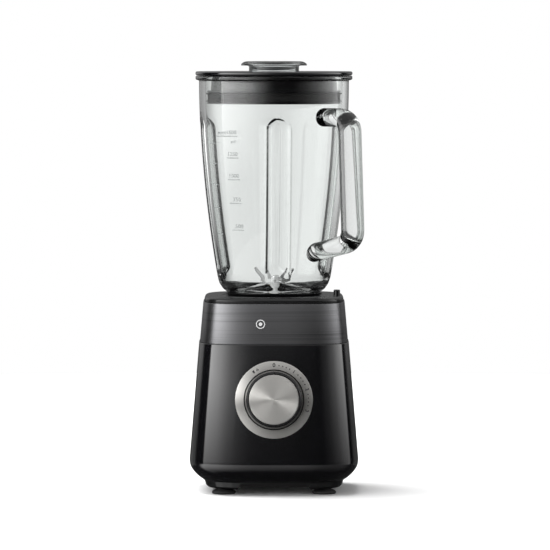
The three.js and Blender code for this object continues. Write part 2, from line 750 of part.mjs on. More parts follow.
function jug() {
  const inside = [
    [JUG_TOP_RADIUS - JUG_WALL + 0.6, JUG_TOP],
    ...jugWall(JUG_WALL).reverse(),
    [JUG_SHOULDER_RADIUS - JUG_WALL, JUG_SHOULDER],
    [48.6, 206.8],
    [46, 203],
    [38.8, 196.6],
    [NECK_BORE, 195.6],
    [NECK_BORE, NECK_BOTTOM],
  ];
  const profile = [...jugOutside(), ...inside];
  const SEGMENTS = 48;
  const CROWDING = 0.17;
  const blank = turnedGeometry([...profile, profile[0]], SEGMENTS);
  const body = reshaped(blank, (radius, angle, height) => {
    const turn = angle - CROWDING * Math.sin(4 * angle);
    return [radius - FLUTE_DEPTH * fluteShare(radius, turn, height), turn];
  });
  const mesh = piece("glass_jug", solid(body), GLASS);
  mesh.rotation.z = THREE.MathUtils.degToRad(FLUTE_TURN);
}

// How far a flute is pressed in at a place on the wall, from 0 to 1. There are four, one facing each way.
function fluteShare(radius, angle, height) {
  const across = radius * Math.abs(angle - Math.round(angle / QUARTER_TURN) * QUARTER_TURN);
  if (across >= FLUTE_HALF_WIDTH || height >= FLUTE_TOP || height <= FLUTE_BOTTOM) return 0;
  const side = Math.cos((QUARTER_TURN * across) / FLUTE_HALF_WIDTH) ** 1.5;
  const ends = Math.min(1, (FLUTE_TOP - height) / FLUTE_RUNOUT, (height - FLUTE_BOTTOM) / FLUTE_RUNOUT);
  return side * ends;
}

function jugHandle() {
  const arm = new THREE.CurvePath();
  const at = (reach, height) => new THREE.Vector3(reach, 0, height);
  arm.add(new THREE.LineCurve3(at(64, 366), at(94, 366)));
  arm.add(new THREE.QuadraticBezierCurve3(at(94, 366), at(109, 366), at(109.9, 346)));
  arm.add(new THREE.LineCurve3(at(109.9, 346), at(113.7, 260)));
  arm.add(new THREE.QuadraticBezierCurve3(at(113.7, 260), at(114.5, 245.6), at(100, 240.8)));
  arm.add(new THREE.LineCurve3(at(100, 240.8), at(54, 231)));
  const section = new THREE.Shape().absellipse(0, 0, HANDLE_RADIAL, HANDLE_ACROSS, 0, 2 * HALF_TURN);
  const options = { steps: 26, extrudePath: arm, curveSegments: 7, bevelEnabled: false };
  const swept = new THREE.ExtrudeGeometry(section, options);
  // The arms broaden into the grip on their way out.
  const place = swept.getAttribute("position");
  for (let i = 0; i < place.count; i += 1) {
    const out = THREE.MathUtils.smoothstep(place.getX(i), 82, 101);
    place.setY(i, place.getY(i) * THREE.MathUtils.lerp(1, GRIP_ACROSS / HANDLE_ACROSS, out));
  }
  const grown = jugOutside(GAP);
  const wall = turned([[0, NECK_BOTTOM], ...grown, [0, JUG_TOP]], 72);
  const body = cut(solid(swept), wall);
  const handle = piece("jug_handle", body, GLASS);
  handle.rotation.z = THREE.MathUtils.degToRad(HANDLE_AZIMUTH - 90);
}

// ---------------------------------------------------------------- lid and cup

function lid() {
  const hole = CUP_RADIUS + 1.2;
  const cover = ring([
    [65.6, PLUG_BOTTOM],
    [65.6, PLUG_BOTTOM + 1.5],
    [63.7, PLUG_BOTTOM + 1.5],
    [63.7, 390],
    [65.4, 390],
    [65.4, 391.4],
    [62, 391.4],
    [61, 402],
    [60.8, LID_BOTTOM],
    [LID_RADIUS - 1.2, LID_BOTTOM],
    [LID_RADIUS, LID_BOTTOM + 1.3],
    [LID_RADIUS, LID_TOP - 1],
    [LID_RADIUS - 1, LID_TOP],
    [71, LID_TOP],
    [hole + 4, LID_TOP - 0.7],
    [hole, LID_TOP - 0.8],
    [hole, CUP_BOTTOM - GAP],
    [hole - 4, CUP_BOTTOM - GAP],
    [hole - 4, CUP_BOTTOM - 2],
    [hole + 2, CUP_BOTTOM - 2],
    [hole + 2, LID_TOP - 3.4],
    [57.6, LID_BOTTOM - 0.6],
    [59.8, 391],
    [61.6, 388],
    [61.6, PLUG_BOTTOM],
  ], 36);
  piece("lid", cover, GLOSS_BLACK);

  const seal = ring([
    [64, 380.6],
    [66.5, 380.9],
    [66.5, 381.4],
    [65, 381.9],
    [65, 387.4],
    [66.7, 388.4],
    [66.7, 389],
    [64, 389.6],
  ], 36);
  piece("lid_seal", seal, RUBBER);
}

function measuringCup() {
  const cup = turned([
    [0, CUP_TOP - 2.2],
    [CUP_RADIUS - 2.2, CUP_TOP - 2.2],
    [CUP_RADIUS - 2, CUP_BOTTOM],
    [CUP_RADIUS - 0.2, CUP_BOTTOM],
    [CUP_RADIUS, CUP_TOP - 4.6],
    [CUP_FLANGE - 3, CUP_TOP - 3.8],
    [CUP_FLANGE, CUP_TOP - 4.2],
    [CUP_FLANGE - 0.4, CUP_TOP - 2.4],
    [CUP_FLANGE - 3, CUP_TOP - 0.6],
    [CUP_FLANGE - 6, CUP_TOP],
    [0, CUP_TOP],
  ], 32);
  piece("measuring_cup", cup, CLEAR_PLASTIC);
}

// ---------------------------------------------------------------- assembly

bottomPlate();
feet();
baseScrews();
housing();
metalBand();
topDeck();
cordGland();
controls();
interlock();
motorStator();
motorRotor();
motorFrames();
bladeUnit();
jug();
jugHandle();
lid();
measuringCup();

export default blender;
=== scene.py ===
"""The looks of the countertop blender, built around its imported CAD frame.

Metres, +Z up, the knob side faces -Y. Lengths below are millimetres until MM turns them into metres.
"""

import math

import bmesh
import bpy
from mathutils import Matrix, Vector


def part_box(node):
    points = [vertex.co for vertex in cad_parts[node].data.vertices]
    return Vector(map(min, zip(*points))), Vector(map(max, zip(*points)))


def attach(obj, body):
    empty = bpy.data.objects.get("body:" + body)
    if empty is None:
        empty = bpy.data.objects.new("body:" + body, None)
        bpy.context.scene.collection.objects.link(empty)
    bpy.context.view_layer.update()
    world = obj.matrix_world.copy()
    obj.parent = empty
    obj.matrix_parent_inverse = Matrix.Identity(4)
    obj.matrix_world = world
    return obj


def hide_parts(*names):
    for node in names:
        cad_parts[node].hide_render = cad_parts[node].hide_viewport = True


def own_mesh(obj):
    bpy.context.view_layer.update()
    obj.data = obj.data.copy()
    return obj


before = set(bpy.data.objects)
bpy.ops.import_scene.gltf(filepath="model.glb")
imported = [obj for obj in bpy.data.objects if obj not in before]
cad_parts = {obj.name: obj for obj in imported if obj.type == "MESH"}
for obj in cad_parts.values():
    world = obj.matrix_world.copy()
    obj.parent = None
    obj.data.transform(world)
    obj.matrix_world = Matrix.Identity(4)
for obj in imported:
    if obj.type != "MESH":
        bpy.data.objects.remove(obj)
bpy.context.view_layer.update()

MM = 0.001
TURN = 2 * math.pi


# ---------------------------------------------------------------- node and colour helpers


def linear(hex_code, alpha=1.0):
    """An sRGB hex colour as linear red, green, blue and alpha."""
    channels = [int(hex_code[i : i + 2], 16) / 255 for i in (0, 2, 4)]
    return (*[c / 12.92 if c <= 0.04045 else ((c + 0.055) / 1.055) ** 2.4 for c in channels], alpha)


def node(tree, kind, links=None, **settings):
    """Adds a node. Settings name its properties, or its sockets by name or number. Links fill its inputs."""
    made = tree.nodes.new(kind)
    for key, value in settings.items():
        if hasattr(made, key):
            setattr(made, key, value)
        else:
            made.inputs[key.replace("_", " ")].default_value = value
    for key, source in (links or {}).items():
        tree.links.new(source, made.inputs[key])
    return made


def blank_material(name):
    """A new material with an empty node tree and its output."""
    material = bpy.data.materials.new(name)
    material.use_nodes = True
    material.node_tree.nodes.clear()
    return material, material.node_tree


def finish_material(material, tree, links=None, **sockets):
    """Adds the surface shader with these sockets, and joins it to the output."""
    shader = node(tree, "ShaderNodeBsdfPrincipled", links)
    for key, value in sockets.items():
        shader.inputs[key.replace("_", " ")].default_value = value
    out = node(tree, "ShaderNodeOutputMaterial")
    tree.links.new(shader.outputs[0], out.inputs["Surface"])
    return material


def grain(tree, size_mm, stretch=(1, 1, 1), detail=3.0, centre=(0, 0, 0)):
    """Noise on object coordinates with lumps size_mm across, drawn out along an axis by a small stretch."""
    spot = node(tree, "ShaderNodeTexCoord").outputs["Object"]
    placed = node(tree, "ShaderNodeMapping", {"Vector": spot}, Location=centre, Scale=stretch)
    return node(
        tree, "ShaderNodeTexNoise", {"Vector": placed.outputs[0]}, Scale=1000 / size_mm, Detail=detail
    ).outputs[0]


def ranged(tree, value, low, high):
    """Maps a 0 to 1 value on to low to high."""
    return node(tree, "ShaderNodeMapRange", {"Value": value}, To_Min=low, To_Max=high).outputs[0]


def relief(tree, height, depth_mm, strength=1.0):
    """A bump from a 0 to 1 height, depth_mm deep."""
    return node(
        tree, "ShaderNodeBump", {"Height": height}, Distance=depth_mm * MM, Strength=strength
    ).outputs[0]


def grey_ramp(tree, place, stops):
    """A ramp of grey levels over a 0 to 1 value."""
    ramp = node(tree, "ShaderNodeValToRGB", {"Fac": place})
    band = ramp.color_ramp
    while len(band.elements) < len(stops):
        band.elements.new(0.5)
    for element, (position, _) in zip(band.elements, stops):
        element.position = position
    for element, (_, level) in zip(band.elements, stops):
        element.color = (level, level, level, 1)
    return ramp.outputs[0]


# ---------------------------------------------------------------- materials


def gloss_abs():
    """Piano-black ABS from a polished mould: a deep black mirror with a trace of swirl and dust-fine haze."""
    material, tree = blank_material("piano_black_abs")
    haze = grain(tree, 14, detail=4)
    swirl = grain(tree, 38, detail=1)
    return finish_material(
        material,
        tree,
        {"Roughness": ranged(tree, haze, 0.07, 0.13), "Normal": relief(tree, swirl, 0.02, 0.3)},
        Base_Color=linear("08080a"),
        IOR=1.54,
        Specular_IOR_Level=0.62,
        Coat_Weight=0.5,
        Coat_Roughness=0.03,
    )


def satin_abs():
    """Spark-eroded black ABS: a soft, even sheen from a fine mould texture about 0.4 mm across."""
    material, tree = blank_material("satin_black_abs")
    spark = grain(tree, 0.4, detail=2)
    cloud = grain(tree, 25)
    return finish_material(
        material,
        tree,
        {"Roughness": ranged(tree, cloud, 0.19, 0.26), "Normal": relief(tree, spark, 0.02, 0.2)},
        Base_Color=linear("0e0e0f"),
        IOR=1.53,
    )


def nitrile_rubber():
    """Moulded nitrile rubber: a dull black that is greyer where handling has bloomed it."""
    material, tree = blank_material("nitrile_rubber")
    bloom = grain(tree, 9, detail=5)
    ramp = node(tree, "ShaderNodeValToRGB", {"Fac": bloom})
    ramp.color_ramp.elements[0].color = linear("101010")
    ramp.color_ramp.elements[1].color = linear("222222")
    return finish_material(
        material,
        tree,
        {"Base Color": ramp.outputs[0], "Roughness": ranged(tree, bloom, 0.6, 0.85)},
        IOR=1.5,
    )


def brushed_band_steel():
    """Dark-tinted stainless band, brushed lengthways: fine level lines 0.5 mm apart and a long soft sheen."""
    material, tree = blank_material("dark_brushed_stainless")
    lines = grain(tree, 260, stretch=(1, 1, 480), detail=6)
    streaks = grain(tree, 400, stretch=(1, 1, 110), detail=2)
    mixed = node(tree, "ShaderNodeMath", {0: lines, 1: streaks}, operation="ADD").outputs[0]
    ramp = node(tree, "ShaderNodeValToRGB", {"Fac": ranged(tree, mixed, -0.5, 0.5)})
    ramp.color_ramp.elements[0].color = linear("505052")
    ramp.color_ramp.elements[1].color = linear("a8a8aa")
    return finish_material(
        material,
        tree,
        {
            "Base Color": ramp.outputs[0],
            "Roughness": ranged(tree, lines, 0.32, 0.42),
            "Normal": relief(tree, lines, 0.04, 0.25),
        },
        Metallic=1.0,
        Anisotropic=0.6,
        Anisotropic_Rotation=0.25,
    )


def spun_metal(name, tint, centre, roughness):
    """Aluminium faced on a lathe: rings 0.35 mm apart, which draw the lights out into a fan."""
    material, tree = blank_material(name)
    spot = node(tree, "ShaderNodeTexCoord").outputs["Object"]
    placed = node(tree, "ShaderNodeMapping", {"Vector": spot}, Location=[-c for c in centre]).outputs[0]
    rings = node(
        tree,
        "ShaderNodeTexWave",
        {"Vector": placed},
        wave_type="RINGS",
        rings_direction="Y",
        Scale=900.0,
        Distortion=1.5,
        Detail=3.0,
    ).outputs["Fac"]
    shade = ranged(tree, rings, 0.86, 1.0)
    colour = node(tree, "ShaderNodeMix", {"Factor": shade}, data_type="RGBA")
    colour.inputs[6].default_value = (0, 0, 0, 1)
    colour.inputs[7].default_value = linear(tint)
    round_about = node(tree, "ShaderNodeTangent", direction_type="RADIAL", axis="Y").outputs[0]
    return finish_material(
        material,
        tree,
        {
            "Base Color": colour.outputs[2],
            "Roughness": ranged(tree, rings, roughness - 0.03, roughness + 0.04),
            "Normal": relief(tree, rings, 0.01, 0.3),
            "Tangent": round_about,
        },
        Metallic=1.0,
        Anisotropic=1.0,
        Anisotropic_Rotation=0.25,
    )


def polished_stainless():
    """Ground stainless blade steel: bright from every side, with faint grinding lines."""
    material, tree = blank_material("polished_stainless")
    lines = grain(tree, 3, stretch=(1, 6, 1), detail=4)
    return finish_material(
        material,
        tree,
        {"Roughness": ranged(tree, lines, 0.26, 0.36), "Normal": relief(tree, lines, 0.02, 0.25)},
        Base_Color=linear("f0f0f0"),
        Metallic=0.6,
    )


def pressed_glass():
    """Pressed soda-lime glass: clear with a trace of green in its thickness, polished a little unevenly."""
    material, tree = blank_material("soda_lime_glass")
    wave = grain(tree, 30, detail=1)
    return finish_material(
        material,
        tree,
        {"Roughness": ranged(tree, wave, 0.0, 0.006)},
        Base_Color=linear("fafcfb"),
        IOR=1.52,
        Transmission_Weight=1.0,
    )


def frosted_scale():
    """The raised marks of the jug's scale: the same glass left rough, with a grey colour painted in as shade
    along the raised lines.
    """
    material, tree = blank_material("raised_glass_marks")
    frost = grain(tree, 1.2)
    return finish_material(
        material,
        tree,
        {"Roughness": ranged(tree, frost, 0.3, 0.4)},
        # Painted shade: the grey base colour darkens the clear glass to stand for the shade along the raised
        # marks.
        Base_Color=linear("a8adac"),
        IOR=1.5,
        Transmission_Weight=0.5,
        Alpha=0.8,
    )


def smoked_san():
    """Lightly smoked SAN plastic of the cup: clear and glossy, a little grey through its wall."""
    material, tree = blank_material("smoked_san_plastic")
    flow = grain(tree, 16, detail=2)
    return finish_material(
        material,
        tree,
        {"Roughness": ranged(tree, flow, 0.0, 0.03)},
        Base_Color=linear("e6e8e8"),
        IOR=1.57,
        Transmission_Weight=1.0,
    )


def dial_ink():
    """Pad-printed dark ink: flat and matt on the metal ring."""
    material, tree = blank_material("pad_print_ink")
    edge = grain(tree, 0.6)
    return finish_material(
        material, tree, {"Roughness": ranged(tree, edge, 0.5, 0.7)}, Base_Color=linear("2b2b2c")
    )


def pale_ink():
    """Pad-printed pale grey ink for the badge on the band."""
    material, tree = blank_material("pale_print_ink")
    edge = grain(tree, 0.6)
    return finish_material(
        material, tree, {"Roughness": ranged(tree, edge, 0.4, 0.6)}, Base_Color=linear("c4c4c4")
    )


def plain_metal(name, light, dark, size_mm, rough_low, rough_high, metallic=1.0):
    """A workshop finish for the motor's pieces: two near shades over grain of the given size."""
    material, tree = blank_material(name)
    lumps = grain(tree, size_mm, detail=5)
    ramp = node(tree, "ShaderNodeValToRGB", {"Fac": lumps})
    ramp.color_ramp.elements[0].color = linear(dark)
    ramp.color_ramp.elements[1].color = linear(light)
    return finish_material(
        material,
        tree,
        {"Base Color": ramp.outputs[0], "Roughness": ranged(tree, lumps, rough_low, rough_high)},
        Metallic=metallic,
    )


# The front face slopes back as it rises. The knob's axis stands square on it.
SKIRT_TOP, SKIRT_HALF = 30.0, 82.8
BODY_TOP, BODY_TOP_HALF = 146.5, 73.2
KNOB_HEIGHT = 93.6
FACE_SLOPE = (SKIRT_HALF - BODY_TOP_HALF) / (BODY_TOP - SKIRT_TOP)
FACE_TILT = math.atan(FACE_SLOPE)
FACE_DEPTH = BODY_TOP_HALF + (BODY_TOP - KNOB_HEIGHT) * FACE_SLOPE
FACE = Matrix.Translation((0, -FACE_DEPTH * MM, KNOB_HEIGHT * MM)) @ Matrix.Rotation(
    math.pi / 2 - FACE_TILT, 4, "X"
)
KNOB_CENTRE = (0, -FACE_DEPTH * MM, KNOB_HEIGHT * MM)

PIANO_BLACK = gloss_abs()
SATIN_BLACK = satin_abs()
RUBBER = nitrile_rubber()
BAND_STEEL = brushed_band_steel()
KNOB_METAL = spun_metal("spun_aluminium_cap", "fffdf8", KNOB_CENTRE, 0.38)
RING_METAL = spun_metal("spun_aluminium_ring", "fffdf8", KNOB_CENTRE, 0.34)
BLADE_STEEL = polished_stainless()
GLASS = pressed_glass()
GLASS_MARKS = frosted_scale()
SMOKED_PLASTIC = smoked_san()
INK = dial_ink()
PALE_INK = pale_ink()

# Rolled electrical steel, enamelled copper, machined brass, sintered carbon, solder mask and nylon.
LAMINATION = plain_metal("electrical_steel", "6c6f73", "4d4f52", 3, 0.4, 0.6)
COPPER = plain_metal("enamelled_copper", "b8672f", "8a4520", 1.2, 0.25, 0.4)
BRASS = plain_metal("machined_brass", "c7a356", "a98540", 2, 0.25, 0.4)
ZINC = plain_metal("zinc_plated_steel", "c3c6c9", "9ea1a4", 2, 0.25, 0.4)
CARBON = plain_metal("sintered_carbon", "2e2e2e", "1c1c1c", 0.8, 0.6, 0.8, metallic=0.0)
BOARD = plain_metal("solder_mask", "1f6a42", "174f33", 6, 0.35, 0.55, metallic=0.0)
NYLON = plain_metal("moulded_nylon", "e8e6dd", "d6d3c8", 8, 0.4, 0.55, metallic=0.0)


# ---------------------------------------------------------------- shape helpers

PLAN_POWER = 3.8
CREASE = math.radians(32)


def profile_wire(bm, profile, rounding):
    """Draws an outline of [radius, height, own rounding] points in the XZ plane and rounds its corners."""
    wire = [bm.verts.new((point[0] * MM, 0, point[1] * MM)) for point in profile]
    bm.faces.new(wire)
    groups = {}
    for vertex, point in zip(wire, profile):
        if point[0] > 0:
            groups.setdefault(point[2] if len(point) > 2 else rounding, []).append(vertex)
    for size, corners in groups.items():
        if size:
            bmesh.ops.bevel(
                bm,
                geom=corners,
                offset=size * MM,
                segments=4,
                profile=0.5,
                affect="VERTICES",
                material=-1,
                clamp_overlap=True,
            )
    bmesh.ops.delete(bm, geom=bm.faces[:], context="FACES_ONLY")
    on_axis = [e for e in bm.edges if all(abs(v.co.x) < 1e-7 for v in e.verts)]
    bmesh.ops.delete(bm, geom=on_axis, context="EDGES")


def turned(profile, steps=128, rounding=0.25):
    """A turned body about +Z, from an outline that starts and ends on the axis or closes on itself."""
    bm = bmesh.new()
    profile_wire(bm, profile, rounding)
    bmesh.ops.spin(
        bm,
        geom=bm.verts[:] + bm.edges[:],
        cent=(0, 0, 0),
        axis=(0, 0, 1),
        angle=TURN,
        steps=steps,
        use_merge=True,
    )
    bmesh.ops.remove_doubles(bm, verts=bm.verts[:], dist=1e-6)
    bmesh.ops.recalc_face_normals(bm, faces=bm.faces[:])
    return bm


def squared(bm):
    """Presses a turned body to the base's rounded-square plan. Its steps crowd towards the corners."""
    for vertex in bm.verts:
        angle = math.atan2(vertex.co.y, vertex.co.x)
        turn = angle + 0.09 * math.sin(4 * angle)
        c, s = abs(math.cos(turn)), abs(math.sin(turn))
        radius = vertex.co.xy.length * (c**PLAN_POWER + s**PLAN_POWER) ** (-1 / PLAN_POWER)
        vertex.co.x, vertex.co.y = radius * math.cos(turn), radius * math.sin(turn)
    return bm


def as_piece(bm, name, body, material, slot, *nodes):
    """Makes the mesh a piece that rides on a CAD body and stands for CAD nodes."""
    for face in bm.faces:
        face.smooth = True
    for edge in bm.edges:
        edge.smooth = edge.calc_face_angle(0) < CREASE
    mesh = bpy.data.meshes.new(name)
    bm.to_mesh(mesh)
    bm.free()
    mesh.materials.append(material)
    piece = bpy.data.objects.new(name, mesh)
    bpy.context.scene.collection.objects.link(piece)
    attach(piece, body)
    if nodes:
        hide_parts(*nodes)
    return piece


def block(low, high):
    """A box between two corners."""
    bm = bmesh.new()
    bmesh.ops.create_cube(bm, size=1)
    size = Vector(high) - Vector(low)
    middle = (Vector(high) + Vector(low)) / 2
    bmesh.ops.scale(bm, vec=size * MM, verts=bm.verts[:])
    bmesh.ops.translate(bm, vec=middle * MM, verts=bm.verts[:])
    return bm


def drum(radius, low, high, place=(0, 0), steps=64):
    """A round bar along Z."""
    bm = bmesh.new()
    bmesh.ops.create_cone(
        bm,
        cap_ends=True,
        segments=steps,
        radius1=radius * MM,
        radius2=radius * MM,
        depth=(high - low) * MM,
    )
    bmesh.ops.translate(bm, vec=(place[0] * MM, place[1] * MM, (low + high) / 2 * MM), verts=bm.verts[:])
    return bm


def combined(bm, others, operation):
    """Cuts other bodies from a body, or joins them to it, and returns the result."""

    def loose(source):
        mesh = bpy.data.meshes.new("work")
        source.to_mesh(mesh)
        source.free()
        made = bpy.data.objects.new("work", mesh)
        bpy.context.scene.collection.objects.link(made)
        return made

    base = loose(bm)
    tools = [loose(other) for other in others]
    for tool in tools:
        step = base.modifiers.new("step", "BOOLEAN")
        step.operation, step.solver, step.object = operation, "EXACT", tool
    graph = bpy.context.evaluated_depsgraph_get()
    result = bmesh.new()
    result.from_mesh(base.evaluated_get(graph).to_mesh())
    for made in [base, *tools]:
        bpy.data.objects.remove(made)
    bmesh.ops.remove_doubles(result, verts=result.verts[:], dist=2e-6)
    return result


def on_face(bm):
    """Carries a body from the frame of the front face, where +Z runs out of it, into the blender's frame."""
    bmesh.ops.transform(bm, matrix=FACE, verts=bm.verts[:])
    return bm


def fused(first, *rest):
    """Puts separate bodies in one mesh."""
    for other in rest:
        mesh = bpy.data.meshes.new("work")
        other.to_mesh(mesh)
        other.free()
        first.from_mesh(mesh)
        bpy.data.meshes.remove(mesh)
    return first


# ---------------------------------------------------------------- motor base

BELLY_BOTTOM = 12.4
BAND_TOP, DECK_TOP = 186.0, 191.5
BAND_BOTTOM_HALF, BAND_TOP_HALF, DECK_HALF = 72.5, 69.1, 68.1
BEHIND_BAND = 1.4
GAP = 0.3
GLAND_HEIGHT = 45
SHELL_STEPS = 200


def housing():
    """The gloss black shell of the base."""
    shell = squared(
        turned(
            [
                [69.4, BELLY_BOTTOM, 0.6],
                [74.5, 16, 3],
                [79.1, 20.8, 3],
                [81.8, 25.4, 2.4],
                [SKIRT_HALF, SKIRT_TOP, 3],
                [BODY_TOP_HALF, BODY_TOP, 0.5],
                [BAND_BOTTOM_HALF - BEHIND_BAND, BODY_TOP, 0],
                [BAND_TOP_HALF - BEHIND_BAND, BAND_TOP - GAP, 0],
                [BAND_TOP_HALF - BEHIND_BAND - 1.8, BAND_TOP - GAP, 0],
                [BAND_BOTTOM_HALF - BEHIND_BAND - 2.2, BODY_TOP - 1, 0],
                [SKIRT_HALF - 2.5, SKIRT_TOP, 0],
                [79.3, 26.6, 0],
                [76.8, 22.6, 0],
                [72.8, 18.4, 0],
                [66.6, 15.2, 0],
                [66.6, BELLY_BOTTOM, 0],
            ],
            SHELL_STEPS,
        )
    )
    window = on_face(drum(35.5, -12, 12, steps=96))
    gland_hole = drum(6.8, -12, 12, steps=48)
    turn = Matrix.Translation((0, 78 * MM, GLAND_HEIGHT * MM)) @ Matrix.Rotation(math.pi / 2, 4, "X")
    bmesh.ops.transform(gland_hole, matrix=turn, verts=gland_hole.verts[:])
    bm = combined(shell, [window, gland_hole], "DIFFERENCE")
    as_piece(bm, "housing_shell", "base", PIANO_BLACK, "gloss_black", "housing")


def metal_band():
    """The brushed band round the top of the base."""
    low, high = BODY_TOP + GAP, BAND_TOP - GAP
    bm = squared(
        turned(
            [
                [BAND_BOTTOM_HALF, low, 0.3],
                [BAND_TOP_HALF, high, 0.3],
                [BAND_TOP_HALF - 1.1, high, 0],
                [BAND_BOTTOM_HALF - 1.1, low, 0],
            ],
            SHELL_STEPS,
        )
    )
    as_piece(bm, "brushed_band", "base", BAND_STEEL, "dark_brushed_steel", "metal_band")
    emblem()


def emblem():
    """A plain printed ring and dot on the band, a little left of the middle."""
    centre_x, centre_z = -13.0, 166.4
    half = BAND_BOTTOM_HALF + (centre_z - BODY_TOP - GAP) * (BAND_TOP_HALF - BAND_BOTTOM_HALF) / (
        BAND_TOP - BODY_TOP - 2 * GAP
    )
    lean = math.atan((BAND_BOTTOM_HALF - BAND_TOP_HALF) / (BAND_TOP - BODY_TOP - 2 * GAP))
    ring = turned([[3.6, 0.02], [4.4, 0.02], [4.4, 0.1], [3.6, 0.1]], 64, 0)
    dot = turned([[0, 0.02], [1.7, 0.02], [1.7, 0.1], [0, 0.1]], 48, 0)
    bm = fused(ring, dot)
    place = Matrix.Translation((centre_x * MM, -half * MM, centre_z * MM))
    bmesh.ops.transform(
        bm, matrix=place @ Matrix.Rotation(math.pi / 2 - lean, 4, "X"), verts=bm.verts[:]
    )
    as_piece(bm, "band_badge", "base", PALE_INK, None)


def top_deck():
    """The deck that the jug stands on."""
    plate = squared(
        turned(
            [
                [0, BAND_TOP],
                [DECK_HALF - 0.2, BAND_TOP, 0.2],
                [DECK_HALF, DECK_TOP - 2.2, 1.4],
                [DECK_HALF - 1.6, DECK_TOP - 0.4, 0.8],
                [DECK_HALF - 4, DECK_TOP, 1],
                [0, DECK_TOP],
            ],
            SHELL_STEPS,
        )
    )
    bucket = turned(
        [
            [0, 154.5],
            [50.2, 154.5],
            [50.2, 182.5],
            [52.6, BAND_TOP + 1],
            [0, BAND_TOP + 1],
        ],
        96,
        0,
    )
    body = combined(plate, [bucket], "UNION")
    well = drum(44.4, 157, DECK_TOP + 1, steps=96)
    dish = turned(
        [
            [0, DECK_TOP - 5],
            [46.4, DECK_TOP - 5, 1],
            [50.4, DECK_TOP - 1.4, 1],
            [51.4, DECK_TOP + 1, 0],
            [0, DECK_TOP + 1],
        ],
        96,
    )
    shaft_hole = drum(9, 153, 158, steps=48)
    pin_hole = drum(3.55, BAND_TOP - 1, DECK_TOP + 1, (61.4, -20), 32)
    grooves = [diagonal_block(i, 48, 5.2, 158, DECK_TOP + 1) for i in range(4)]
    bm = combined(body, [well, dish, shaft_hole, pin_hole, *grooves], "DIFFERENCE")
    as_piece(bm, "deck_plate", "base", SATIN_BLACK, "satin_black", "top_deck")


def diagonal_block(index, reach, half_width, low, high):
    """A block that stands out to reach on one of the four diagonals."""
    bm = block((reach - 10, -half_width, low), (reach, half_width, high))
    turn = Matrix.Rotation((index + 0.5) * TURN / 4, 4, "Z")
    bmesh.ops.transform(bm, matrix=turn, verts=bm.verts[:])
    return bm


def foot_pieces():
    """The four feet."""
    for name in ("foot_front_left", "foot_front_right", "foot_rear_left", "foot_rear_right"):
        low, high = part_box(name)
        middle = (low + high) / 2
        bm = turned(
            [
                [0, 0.5],
                [7.4, 0.5, 0.3],
                [8, 0, 0.3],
                [10.6, 0, 0.6],
                [11.8, 1.3, 0.6],
                [11.3, 2.8, 0.6],
                [8.6, 4.4, 0.6],
                [6.9, 4.9, 0.2],
                [6.9, 8.2, 0.2],
                [0, 8.2],
            ],
            64,
        )
        bmesh.ops.translate(bm, vec=(middle.x, middle.y, 0), verts=bm.verts[:])
        as_piece(bm, name.replace("foot", "rubber_foot"), "base", RUBBER, "rubber", name)


# ---------------------------------------------------------------- knob and dial

KNOB_REACH = 19.0
DIAL_RADIUS, DIAL_BORE = 37.5, 29.2
DIAL_EDGE, DIAL_CREST = 0.9, 2.0  # the ring falls away outwards


def dial():
    """The ring round the knob."""
    ring = turned(
        [
            [DIAL_RADIUS, 0.4, 0],
            [DIAL_RADIUS, DIAL_EDGE, 0.15],
            [DIAL_BORE, DIAL_CREST, 0.3],
            [DIAL_BORE, 0.4, 0],
        ],
        160,
    )
    as_piece(on_face(ring), "dial_plate", "base", RING_METAL, "brushed_aluminium", "dial_ring")
    dial_print()


def dial_print():
    """Printed dots, numbers and two plain pictures round the dial."""
    marks = []
    face = (DIAL_EDGE + DIAL_CREST) / 2 + 0.02  # just proud of the ring
    middle = (DIAL_RADIUS + DIAL_BORE) / 2
    lean = Matrix.Rotation(-math.atan2(DIAL_CREST - DIAL_EDGE, DIAL_RADIUS - DIAL_BORE), 4, "X")

    def stamped(bm, degrees):
        round_to = Matrix.Rotation(-math.radians(degrees), 4, "Z")
        spot = Matrix.Translation((0, middle * MM, face * MM))
        bmesh.ops.transform(bm, matrix=round_to @ spot @ lean, verts=bm.verts[:])
        marks.append(bm)

    for start, end in ((0, 35.4), (35.4, 72.4), (72.4, 108.3)):
        for i in range(1, 5):
            dot = turned([[0, 0], [0.58, 0], [0.58, 0.04], [0, 0.04]], 16, 0)
            stamped(dot, start + (end - start) * (i + 0.35) / 5.7)
    for number, height, degrees in (("0", 3.8, 0), ("1", 3.4, 35.4), ("2", 3.4, 72.4), ("3", 3.4, 108.3)):
        stamped(lettering(number, height), degrees)
    # A jug and a pile of ice for the pulse position.
    jug = outline_plate([(-1.1, 1.4), (1.1, 1.4), (0.7, -1.4), (-0.7, -1.4)])
    stamped(jug, -36)
    for dx, dy in ((-0.7, -0.6), (0.7, -0.6), (0, 0.6)):
        corners = [(dx + x, dy + y) for x, y in ((-0.5, -0.5), (0.5, -0.5), (0.5, 0.5), (-0.5, 0.5))]
        stamped(outline_plate(corners), -29)
    bm = on_face(fused(marks[0], *marks[1:]))
    as_piece(bm, "dial_marks", "base", INK, None)


def outline_plate(corners, thickness=0.04):
    """A thin flat plate of the given outline."""
    bm = bmesh.new()
    face = bm.faces.new([bm.verts.new((x * MM, y * MM, 0)) for x, y in corners])
    risen = bmesh.ops.extrude_face_region(bm, geom=[face])["geom"]
    lifted = [v for v in risen if isinstance(v, bmesh.types.BMVert)]
    bmesh.ops.translate(bm, vec=(0, 0, thickness * MM), verts=lifted)
    bmesh.ops.recalc_face_normals(bm, faces=bm.faces[:])
    return bm


